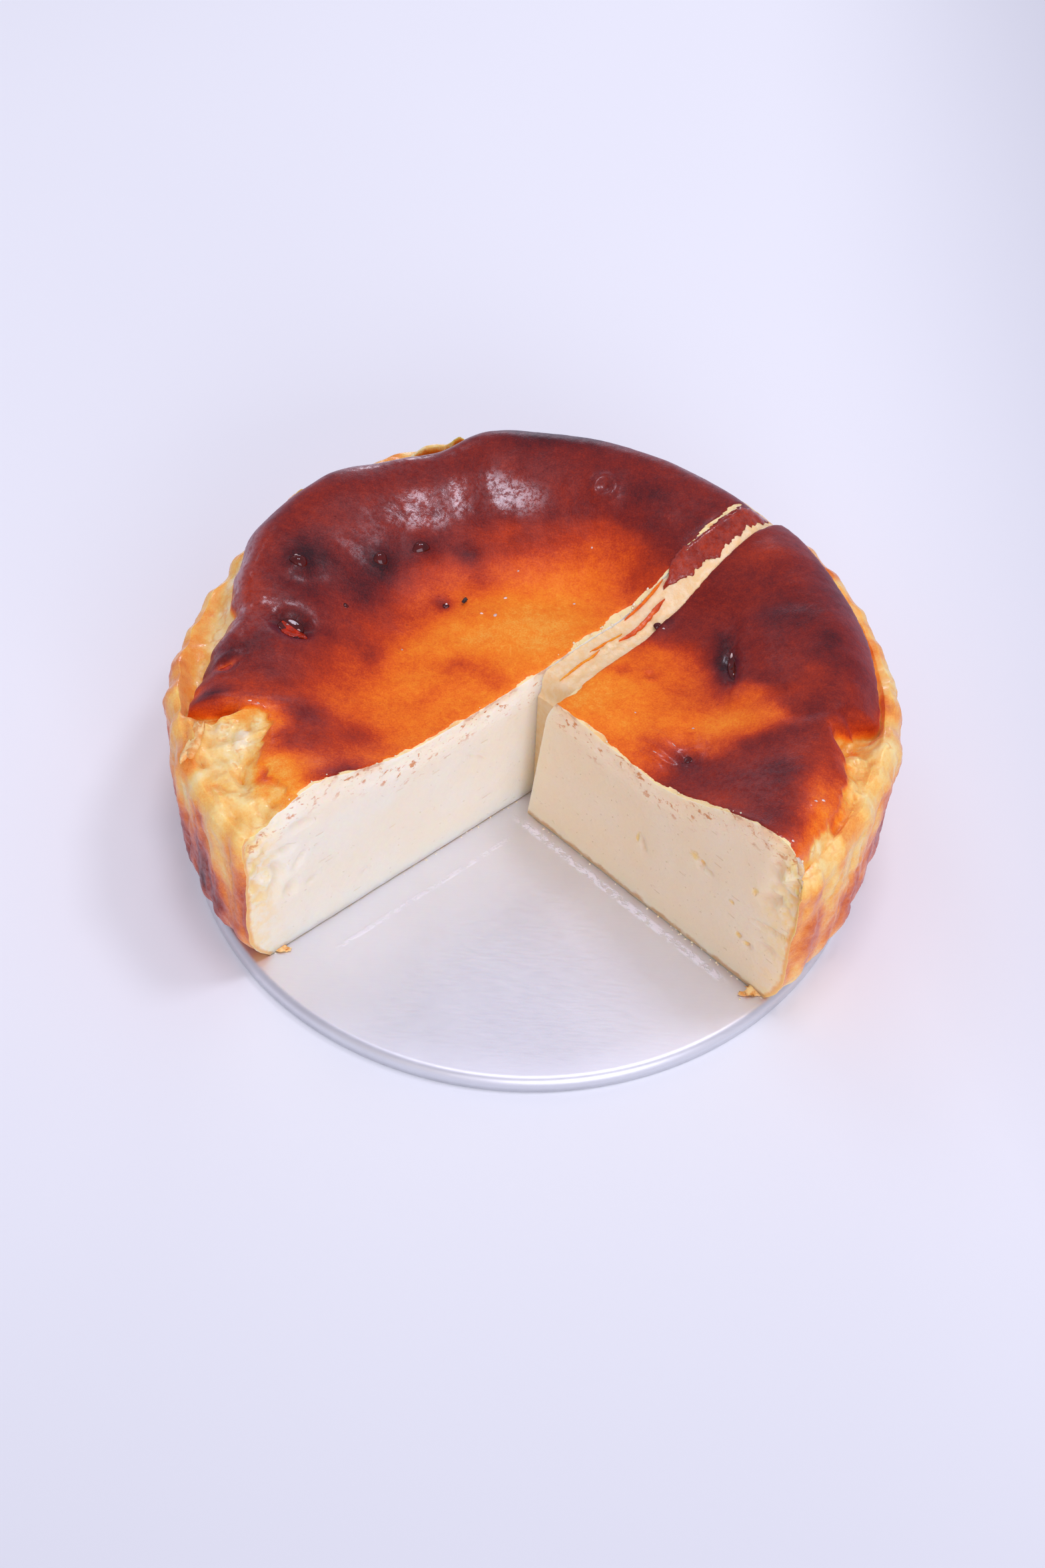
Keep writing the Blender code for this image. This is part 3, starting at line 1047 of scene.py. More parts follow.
HALF_PLAN = WedgePlan(
    node="half_cake",
    title="half_of_cake",
    centre=(-3.0, 1.5),
    wall=73.4,
    tip_top=(0.2, 0.5),
    tip_base=(0.2, 0.5),
    bevel=(-0.80, 0.90),
    angles_top=(41.7, 221.7),
    angles_base=(41.7, 221.7),
    middle=41.6,
    rise_from=((42, 20), (100, 22), (180, 24), (222, 27), (300, 24)),
    crest=((43, 55.5), (62, 56.0), (80, 56.6), (98, 56.4), (111, 54.0), (122, 54.8), (134, 56.0), (150, 55.0),
           (163, 53.5), (172, 51.0), (182, 52.0), (193, 50.5), (206, 49.4), (224, 49.2), (300, 52)),
    crest_at=((43, 61), (62, 60), (80, 59), (98, 59), (111, 57), (122, 59), (134, 61), (150, 61), (163, 60),
              (172, 57), (182, 58), (193, 60), (206, 54), (224, 55), (300, 60)),
    crust_to=((43, 68.5), (62, 67.5), (80, 67.5), (98, 68), (109, 64.6), (119, 65.5), (128, 68), (150, 68.5),
              (161, 65.6), (167, 63.8), (171, 61.2), (175, 62.4), (181, 64.7), (186, 66.1), (190, 68),
              (194, 70.2), (197, 60.2), (199, 55.0), (202.5, 53.0), (206.6, 56.6), (212, 59.5), (224, 58.5),
              (300, 66)),
    crust_end=((43, 50), (80, 49.5), (109, 47.0), (132, 48), (150, 48), (172, 46.5), (190, 45.5), (196, 46.5),
               (205, 48.4), (224, 48.6), (300, 48)),
    step=((43, 2.2), (150, 2.4), (180, 3.0), (191, 2.6), (198, 0.7), (224, 0.5), (300, 1.5)),
    ridge=((43, 46.5), (80, 45.0), (104, 44), (118, 44.5), (140, 43.5), (160, 42), (174, 42.5), (184, 45),
           (192, 47.5), (200, 47), (210, 46), (224, 45), (300, 45)),
    trough=((43, 1.5), (150, 1.6), (180, 2.2), (194, 1.2), (224, 0.4), (300, 1)),
    bulge=((43, 0), (120, 0), (140, -1.0), (160, -1.3), (172, -0.6), (190, -0.5), (203, 0.4), (224, 0),
           (300, 0)),
    bumps=((13, 12, 10, 1.5), (33, 30, 9, 1.2), (-51, 7, 3.2, -1.8), (-63.5, -4, 5, -1.6),
           (-51, 22, 2.6, 1.0), (-34, 29, 2.4, 0.8), (-25, 33.5, 2.6, 0.8), (14, 48.5, 3, 0.9),
           (-40, 20, 7, 0.7), (-42, -26, 9, -0.9), (-15, 35, 5, -0.5), (-5, 20, 13, 0.8)),
    pleats=((46, 1.0, 2.6), (55, 0.7, 2.2), (63, 1.2, 3.0), (74, 0.8, 2.4), (83, 1.1, 2.6), (95, 1.3, 3.2),
            (104, 0.9, 2.2), (113, 1.2, 3.0), (124, 0.8, 2.4), (133, 1.3, 2.8), (144, 0.9, 2.6),
            (153, 1.1, 2.4), (163, 1.3, 3.0), (172, 1.0, 2.2), (181, 1.4, 2.6), (189, 1.5, 2.2),
            (196, 1.2, 2.4), (203, 1.4, 2.2), (210, 0.9, 2.4), (216, 1.2, 2.2), (222, 0.8, 2.0)),
    seed=3.1,
    # Partly painted shade: the larger values on the left-front wall (188 to 213 degrees) darken the side away
    # from the key light as well as its browning.
    scorch_and_shade=((43, 0.05), (120, 0.10), (165, 0.06), (188, 0.27), (202, 0.31), (213, 0.17), (222, 0.02),
            (300, 0.05)),
    soft_tear=1.0,
    curdled=0.8,
    tear=((43, 0.0), (192, 0.05), (196, 0.7), (200, 1.0), (224, 1.0), (232, 0.0), (300, 0.0)),
    bared_at=(
        Dab(18.5, 19.0, 3.4, 2.4, 45, 2.6), Dab(12.0, 12.5, 5.0, 2.4, 42, 0.9),
        Dab(24.0, 23.0, 4.0, 3.0, 42, 0.5), Dab(40.0, 37.0, 9.0, 6.0, 42, -1.6),
        Dab(-26.0, -24.0, 8.0, 4.0, 42, 0.5),
    ),
    tear_lines=(
        Dab(31.5, 30.6, 4.4, 0.45, 46, 1.0, 4.0), Dab(37.2, 36.6, 4.4, 0.50, 49, 1.0, 4.0),
        Dab(42.4, 42.6, 4.4, 0.60, 50, 1.0, 4.0), Dab(27.0, 26.2, 3.0, 0.40, 42, 0.8, 4.0),
    ),
    glow=Glow(
        x=0.0, y=10.0,
        reach=((0, 38), (30, 36), (45, 35), (60, 35), (90, 32), (110, 32), (130, 33), (150, 36), (165, 42),
               (180, 45), (195, 51), (212, 62), (230, 75), (300, 60)),
        blur=((0, 8), (45, 5), (60, 4), (90, 3.2), (112, 4), (135, 9), (150, 13), (180, 16), (200, 18),
              (230, 12), (300, 10)),
        middle=0.35, gain=0.33, dark=0.80,
    ),
    dabs=(
        Dab(1, 19, 9, 10, 0, -0.07), Dab(-16, 12, 10, 5, 10, -0.05), Dab(-14, -6, 9, 6, 30, 0.02),
        Dab(-28, -1, 6, 7, 0, -0.04), Dab(8, 29, 12, 5, 10, -0.03), Dab(-38, 8, 7, 7, 20, 0.10),
        Dab(-62, -2, 6, 3, 20, 0.10), Dab(-66, -13.5, 6, 2.4, 8, 0.26), Dab(-59, -11, 14, 3.4, 0, -0.17),
        Dab(-50, 20, 8, 6, 60, 0.09), Dab(-51, 25, 5, 4, 20, 0.15), Dab(-36, 20, 6, 5, 20, 0.24),
        Dab(-33, 28, 5, 3.5, 20, 0.19), Dab(-25.5, 33.0, 4, 2.6, 20, 0.15),
        Dab(-15.5, 34.5, 3.8, 2.6, 0, 0.22), Dab(-12, 28.5, 2.8, 2.4, 0, 0.13),
        Dab(-3, 37, 9, 3.0, 10, 0.13), Dab(-20, 22, 2.2, 2.0, 0, 0.22), Dab(-27, 16, 9, 3.4, 40, 0.10),
        Dab(-34, 4.5, 2.4, 3.2, 0, 0.13), Dab(-8, 0.6, 3.4, 2.6, 0, 0.12), Dab(-13, 4, 8, 4.0, 0, 0.13),
        Dab(-21, -4, 7, 2.0, 50, 0.07), Dab(-45.5, -15.5, 4.2, 3.6, 0, 0.20),
        Dab(-34.5, -17.8, 4.4, 3.4, 0, 0.19), Dab(-42, -23.5, 9, 4.8, 0, 0.09, 2.4),
        Dab(-37, -30.5, 5.0, 2.6, 30, 0.24), Dab(-48, -30.0, 7, 3.8, 0, -0.26), Dab(-50, -12, 9, 5, 0, 0.02),
        Dab(8, 48, 9, 3.0, 0, -0.03), Dab(25, 46, 9, 4, -20, 0.04), Dab(33, 38, 6, 4, 40, 0.04),
        Dab(-62, 14, 6, 13, 0, -0.09), Dab(-58, 28, 8, 5, 50, -0.04), Dab(-27, 60, 14, 5, 20, -0.02),
        Dab(6, 65, 22, 6, 0, 0.17), Dab(-51, 7, 5.0, 3.8, 0, 0.12, 4.0),
        Dab(-63.5, -5.0, 2.2, 1.1, 20, -0.42, 3.0), Dab(3, -2, 5, 4, 45, 0.02), Dab(22, 27, 5, 3, 45, 0.07),
    ),
    relief=(
        Blister(14.2, 48.3, 2.3, 0.9, 0.55, 0.7), Blister(-63.5, -5.0, 2.4, 1.0, 0.5, 1.1),
        Dab(-51.0, 7.0, 4.4, 3.2, 0, -1.2, 4.0), Dab(-15.5, 34.8, 2.6, 1.9, 0, -0.35),
        Dab(-20.2, 22.0, 1.2, 1.2, 0, -0.3), Dab(-34, -17.5, 3, 2.5, 0, -0.3),
        Dab(-45.5, -15.5, 3, 3, 0, -0.3), Dab(-26, 43, 9, 4, 10, -0.35), Dab(-10, 49, 8, 5, 0, -0.35),
        Dab(30, 41, 6, 3, 20, 0.4), Dab(36.0, 35.5, 5.5, 1.0, 48, 0.8), Dab(38.5, 35.6, 6.5, 0.7, 46, -0.5),
        Dab(-57.5, 12.5, 1.4, 1.0, 0, 0.35), Dab(-54, -15, 7, 1.6, 8, 0.45),
    ),
    shine=(
        Dab(-11.5, 47.0, 11.0, 4.2, -4, 1.0, 4.0), Dab(-27.0, 42.0, 10.0, 4.0, 14, 1.0, 4.0),
        Dab(-40, 29, 11, 4, 40, 0.20), Dab(-51, 7, 5, 4, 0, 0.25), Dab(30, 41, 9, 4, 25, 0.4),
        Dab(14.2, 48.3, 3.4, 3.4, 0, 0.7), Dab(-55, -15, 9, 2.4, 8, 0.8), Dab(36, 35, 7, 2, 48, 0.8),
        Dab(33, 55, 9, 5, -30, 0.4), Dab(-60, 8, 9, 14, 0, 0.9), Dab(-32, 57, 16, 8, 25, 1.0),
        Dab(-48, -22, 10, 7, 0, 0.4), Dab(-66, 26, 6, 14, -15, 0.5),
    ),
    gouges=(
        Dab(13.2, 26.5, 2.3, 0.45, 52, -0.55, 3.0), Dab(16.5, 29.5, 1.6, 0.4, 50, -0.4, 3.0),
        Dab(45.5, 13.0, 1.8, 0.4, -30, -0.45, 3.0), Dab(59.0, 21.0, 1.4, 0.7, -30, -0.8, 3.0),
        Dab(61.5, 30.0, 2.4, 0.8, -55, -1.0, 3.0), Dab(64.5, 36.0, 1.7, 1.2, 20, -1.1, 3.0),
        Dab(66.5, 31.0, 2.8, 1.3, 70, -1.5, 3.0), Dab(64.0, 22.5, 1.6, 2.2, 10, -1.4, 3.0),
        Dab(68.0, 26.0, 1.4, 3.6, 10, -1.0, 3.0), Dab(60.0, 41.0, 3.2, 1.4, 10, -0.9, 3.0),
    ),
    curd_marks=(
        Dab(-63.5, -16.8, 1.2, 1.2, 0, 0.34), Dab(-69.5, -25.0, 1.7, 6.5, 6, 0.22),
        Dab(-67.5, -30.5, 2.4, 1.6, 20, 0.20), Dab(-63.5, -37.5, 4.0, 3.4, 0, 0.16),
        Dab(-53.0, -33.0, 2.0, 2.2, 0, 0.30), Dab(-52.5, -37.0, 3.0, 2.0, 20, 0.12),
        Dab(-60.5, -24.5, 5.0, 6.0, 20, -0.05), Dab(-49.0, -40.5, 3.0, 1.5, 20, 0.10),
    ),
    curd_lumps=(
        Dab(-25.5, 63.8, 6.5, 2.8, 22, 6.8, 2.0), Dab(-17.8, 65.4, 2.8, 2.4, 15, 6.2, 2.0),
        Dab(-53.8, 48.4, 4.4, 2.8, 40, 5.0, 2.0), Dab(-69.2, -24.5, 1.7, 6.4, 4, 1.9, 4.0),
        Dab(-66.6, -28.4, 1.4, 2.4, 10, -2.2, 3.0), Dab(-62.5, -36.5, 4.4, 3.8, 20, 1.1, 3.0),
        Dab(-60.0, -26.0, 3.4, 4.6, 20, 0.9, 3.0), Dab(-64.8, -21.0, 1.3, 3.4, 0, -1.3, 3.0),
        Dab(-57.2, -33.5, 1.2, 3.4, 30, -1.2, 3.0), Dab(-54.0, -38.0, 3.2, 2.4, 40, 0.8, 3.0),
        Dab(-58.3, -40.5, 1.0, 2.2, 40, -1.2, 3.0),
    ),
    columns=440,
)

SLICE_PLAN = WedgePlan(
    node="quarter_slice",
    title="quarter_of_cake",
    centre=(3.2, -2.2),
    wall=73.0,
    tip_top=(4.0, -6.1),
    tip_base=(0.4, -5.0),
    bevel=(1.5, 0.02),
    angles_top=(-43.6, 46.3),
    angles_base=(-42.4, 43.5),
    middle=43.0,
    rise_from=((-45, 33), (0, 28), (46, 26), (180, 28)),
    crest=((-45, 54.0), (-25, 53.6), (-10, 54.2), (10, 54.2), (30, 53.5), (48, 52.5), (180, 52)),
    crest_at=((-45, 65), (-25, 60), (-10, 59), (10, 59), (30, 58.5), (48, 59), (180, 60)),
    crust_to=((-45, 70), (-38, 68.8), (-32, 68.0), (-25, 66.8), (-20, 64.8), (-15, 60.8), (-11.5, 64),
              (-8.3, 69.4), (7, 68.8), (25, 68.2), (41, 69), (50, 69), (180, 67)),
    crust_end=((-45, 52), (-30, 51.5), (-20, 50), (-8, 47.5), (10, 48.5), (30, 49), (50, 48.5), (180, 48)),
    step=((-45, 0.6), (-24, 0.8), (-14, 1.2), (-8, 2.8), (20, 2.6), (50, 2.2), (180, 2)),
    ridge=((-45, 46.5), (-30, 48), (-15, 49), (-5, 47), (8, 45), (25, 44.5), (50, 45), (180, 45)),
    trough=((-45, 0.4), (-20, 0.9), (-8, 1.8), (20, 1.6), (50, 1.4), (180, 1)),
    bulge=((-45, 0), (-20, 0.3), (-8, 1.2), (6, 1.2), (20, 0.6), (50, 0), (180, 0)),
    bumps=((27, 17.5, 3.6, 1.3), (34.8, 12, 4.2, 1.3), (41.6, 5, 2.2, -0.9), (52, 6, 8, 0.9),
           (33, -19.5, 4.2, -1.0), (27, -17, 4.5, 0.7), (57, -13, 6, -0.6), (48, -32, 8, 0.6)),
    pleats=((-42, 1.2, 2.4), (-34, 0.9, 2.2), (-27, 1.3, 2.6), (-19, 1.0, 2.2), (-12, 1.3, 2.4),
            (-3, 1.1, 2.8), (5, 1.3, 2.4), (13, 0.9, 2.6), (21, 1.2, 2.4), (30, 0.8, 2.4), (38, 1.1, 2.6),
            (46, 0.8, 2.4)),
    seed=8.7,
    scorch_and_shade=((-45, 0.02), (-34, 0.05), (-24, 0.20), (-10, 0.14), (8, 0.10), (25, 0.16), (46, 0.06),
            (180, 0.05)),
    soft_tear=0.5,
    curdled=1.25,
    tear=((-50, 0.9), (-40, 1.0), (-12, 0.9), (-9, 0.2), (0, 0.0), (180, 0.0)),
    bared_at=(
        Dab(20.0, 10.5, 6.0, 3.0, 45, -0.4), Dab(40.0, -43.0, 6.0, 4.0, -43, -0.3),
        Dab(38.0, 32.0, 16.0, 6.0, 46, -1.4), Dab(14.0, -17.0, 8.0, 4.0, -43, 0.4),
    ),
    tear_lines=(),
    glow=Glow(
        x=12.0, y=-3.0,
        reach=((-180, 30), (-75, 28), (-55, 27), (-40, 26), (-28, 34), (-16, 46), (-8, 38), (8, 29), (20, 28),
               (35, 25), (60, 22), (90, 20), (150, 25)),
        blur=((-180, 6), (-55, 9), (-40, 9), (-28, 10), (-14, 9), (0, 5), (12, 6), (35, 8), (60, 12),
              (90, 10)),
        middle=0.37, gain=0.20, dark=0.78,
    ),
    dabs=(
        Dab(27, 17.5, 4.2, 3.6, 0, 0.12), Dab(34.8, 12, 4.0, 4.2, 0, -0.03), Dab(19, 4, 2.4, 1.8, 0, 0.15),
        Dab(25, 2.6, 2.0, 2.0, 0, 0.10), Dab(40.5, 4, 2.6, 8, 0, 0.24), Dab(57, 12, 6, 5, 0, 0.08),
        Dab(62, -1, 5, 4, 0, 0.09), Dab(57, -14.5, 7, 3, 20, 0.10), Dab(33, -19.8, 3.4, 3.0, 0, 0.14),
        Dab(44, -28, 12, 8, -30, 0.00), Dab(48, -40, 8, 5, 0, 0.03), Dab(57, -39, 4.0, 10, -12, -0.32),
        Dab(52, -49, 5, 3, -30, -0.14), Dab(44, -12.5, 13, 3.0, -6, -0.09), Dab(52, 4, 8, 8, 0, 0.03),
        Dab(27, -17, 6, 3, -30, 0.07), Dab(30, -6, 8, 4, 0, 0.05), Dab(17, -9, 6, 3, -30, -0.06),
        Dab(14, -1, 5, 3, 30, -0.03), Dab(38, -33, 3, 4, 40, -0.04), Dab(64, 26, 5, 8, 0, 0.07),
        Dab(24, -12, 5, 3, -30, -0.04), Dab(42, 25, 7, 6, 45, 0.03), Dab(55, 16, 4, 4, 0, 0.02),
        Dab(62.5, 5, 3.5, 3, 0, 0.10), Dab(52, 12, 5, 5, 0, 0.05), Dab(58, -3, 5, 4, 20, -0.08),
        Dab(50, -8, 8, 3, 0, -0.06), Dab(50.5, -29, 4, 4, 0, 0.10), Dab(40, -22, 6, 3, -30, -0.07),
        Dab(56, -24, 5, 3, 20, -0.09), Dab(47, 31, 6, 4, 40, -0.07), Dab(30, 25, 5, 3, 45, -0.06),
        Dab(41, -36, 5, 3, -40, -0.07), Dab(60, -31, 3, 4, 0, -0.07),
    ),
    relief=(
        Blister(25.0, 3.0, 1.5, 0.6, 0.25, 0.35), Blister(33.0, -19.5, 2.4, 1.0, 0.3, 0.35),
        Dab(42.4, 3.2, 1.0, 5.2, 3, -1.3, 3.0),
        Fold(((44, 14), (43.4, 7), (42.8, -1), (41.2, -7)), 1.0, 1.4, 9.0), Dab(19, 4, 1.5, 1.2, 0, -0.3),
        Dab(26.5, -17.5, 4.0, 0.6, -38, 0.35), Dab(28.5, -15.0, 3.6, 0.6, -38, 0.3),
        Dab(25.5, -20.0, 3.4, 0.6, -38, 0.3), Dab(29.5, -21.0, 3.0, 0.6, -20, -0.3),
        Dab(57, -14, 5, 2, 10, -0.5), Dab(57.5, -38.5, 2.0, 1.6, 0, 0.4), Dab(52, -49, 2.2, 1.8, 0, 0.4),
    ),
    shine=(
        Dab(42.4, 3.5, 2.2, 6.5, 0, 0.8), Dab(27, -17.5, 6, 5, 0, 0.22), Dab(57.5, -38, 4, 3, 0, 0.5),
        Dab(52, -49, 4, 3, 0, 0.9), Dab(53, 4, 9, 12, 0, 0.12), Dab(46, -32, 13, 10, -30, 0.5),
        Dab(33, -19.5, 4, 4, 0, 0.5),
    ),
    gouges=(
        Dab(31.0, 23.0, 0.42, 2.7, 24, -0.8, 3.0), Dab(46.5, 30.5, 1.0, 1.3, 10, -1.0, 3.0),
        Dab(48.8, 30.0, 0.9, 0.6, 0, -0.8, 3.0), Dab(62.5, 17.2, 0.7, 0.8, 0, -0.8, 3.0),
        Dab(59.5, 18.5, 0.8, 0.5, 0, -0.5, 3.0), Dab(66.0, 27.0, 4.2, 0.6, 14, -1.1, 3.0),
        Dab(64.0, 36.0, 3.0, 1.6, 30, -1.0, 3.0), Dab(66.5, 20.5, 2.4, 1.0, 10, -0.8, 3.0),
    ),
    curd_marks=(
        Dab(66.5, -19.5, 1.5, 1.6, 0, 0.26), Dab(70.0, -10.0, 2.0, 4.0, 0, 0.08),
        Dab(66.0, -29.5, 3.0, 4.0, 20, 0.12), Dab(63.0, -36.5, 3.0, 3.4, -20, 0.10),
        Dab(60.5, -41.0, 2.6, 2.0, -20, 0.14),
    ),
    curd_lumps=(
        Dab(64.5, -18.5, 2.2, 3.0, 0, -1.4, 3.0), Dab(68.0, -25.0, 2.2, 5.6, 20, 1.0, 3.0),
        Dab(61.5, -33.0, 2.0, 3.0, -30, -1.3, 3.0), Dab(58.0, -39.5, 2.6, 2.2, -30, 0.9, 3.0),
        Dab(64.0, -35.5, 2.4, 2.0, -30, 0.9, 3.0),
    ),
    columns=248,
)


# ------------------------------------------------------------------------------
# Finishes
# ------------------------------------------------------------------------------


class Recipe:
    """A material under construction, with short names for the nodes that the finishes need."""

    def __init__(self, name: str) -> None:
        """Starts a material.

        Args:
            name: Name of the material.
        """
        self.material = bpy.data.materials.new(name)
        self.material.use_nodes = True
        self.tree = self.material.node_tree
        self.shader = self.tree.nodes["Principled BSDF"]
        self.place = self.tree.nodes.new("ShaderNodeTexCoord").outputs["Object"]

    def node(self, kind: str, inputs: dict | None = None, **settings: object) -> bpy.types.Node:
        """Adds a node of a kind, with its inputs by name or number, and its settings."""
        return put_node(self.tree, kind, inputs, settings)

    def value(self, name: str) -> Socket:
        """Reads a value that the mesh carries, by name."""
        return self.node("ShaderNodeAttribute", attribute_name=name).outputs["Fac"]

    def speckle(self, size: float, detail: float = 2.0, rough: float = 0.5, bend: float = 0.0,
                where: Socket | None = None, seed: float = 0.0) -> Socket:
        """Noise of 0 to 1.

        Args:
            size: Size of its features in millimetres.
            detail: Octaves.
            rough: Weight of the finer octaves.
            bend: Distortion.
            where: Coordinates to read instead of the object's.
            seed: Shifts the pattern.

        Returns:
            The noise.
        """
        shifted = self.node("ShaderNodeVectorMath", {0: where or self.place, 1: (seed, 0.37 * seed, 0.0)})
        inputs = {"Vector": shifted.outputs[0], "Scale": 1.0 / (size * MM), "Detail": detail,
                  "Roughness": rough, "Distortion": bend}
        return self.node("ShaderNodeTexNoise", inputs).outputs["Fac"]

    def sum(self, operation: str, first: Socket | float, second: Socket | float = 0.0,
            third: Socket | float = 0.0) -> Socket:
        """Arithmetic on up to three values."""
        return self.node("ShaderNodeMath", {0: first, 1: second, 2: third}, operation=operation).outputs[0]

    def times(self, first: Socket | float, second: Socket | float) -> Socket:
        """Product of two values."""
        return self.sum("MULTIPLY", first, second)

    def swing(self, spread: Socket) -> Socket:
        """Centres a noise on zero."""
        return self.sum("SUBTRACT", spread, 0.5)

    def band(self, value: Socket, low: float, high: float, start: float = 0.0, end: float = 1.0) -> Socket:
        """Eases a value that runs from low to high into one from start to end, and holds it there."""
        inputs = {"Value": value, "From Min": low, "From Max": high, "To Min": start, "To Max": end}
        return self.node("ShaderNodeMapRange", inputs, interpolation_type="SMOOTHSTEP").outputs["Result"]

    def ramp(self, value: Socket, stops: tuple[tuple[float, Colour], ...]) -> Socket:
        """Colours along a value.

        Args:
            value: Value of 0 to 1.
            stops: Places and their sRGB colours.

        Returns:
            The colour.
        """
        made = self.node("ShaderNodeValToRGB", {"Fac": value})
        elements = made.color_ramp.elements
        while len(elements) > 1:
            elements.remove(elements[-1])
        elements[0].position, elements[0].color = stops[0][0], linear(stops[0][1])
        for place, colour in stops[1:]:
            elements.new(place).color = linear(colour)
        return made.outputs["Color"]

    def blend(self, share: Socket | float, first: Socket | Colour, second: Socket | Colour) -> Socket:
        """Mixes two colours, each given as sRGB or a socket, by the share of the second."""
        pair = [linear(colour) if isinstance(colour, tuple) else colour for colour in (first, second)]
        return self.node("ShaderNodeMix", {0: share, 6: pair[0], 7: pair[1]}, data_type="RGBA").outputs[2]

    def raise_by(self, height: Socket, depth: float, under: Socket | None = None) -> Socket:
        """Bump.

        Args:
            height: Height of 0 to 1.
            depth: Millimetres that a height of 1 stands for.
            under: A bump that lies below this one.

        Returns:
            The normal.
        """
        inputs = {"Height": height, "Distance": depth * MM, "Strength": 1.0}
        if under is not None:
            inputs["Normal"] = under
        return self.node("ShaderNodeBump", inputs).outputs["Normal"]

    def sink(self, marks: Socket, depth: float, under: Socket) -> Socket:
        """Bump that goes down, by a depth in millimetres, where the marks are 1."""
        return self.raise_by(self.sum("SUBTRACT", 1.0, marks), depth, under)

    def set(self, **values: Socket | float | tuple) -> None:
        """Sets the shader's inputs.

        Args:
            values: Sockets or plain values by input name, with _ for a space.
        """
        for name, value in values.items():
            feed(self.tree, self.shader.inputs[name.replace("_", " ")], value)


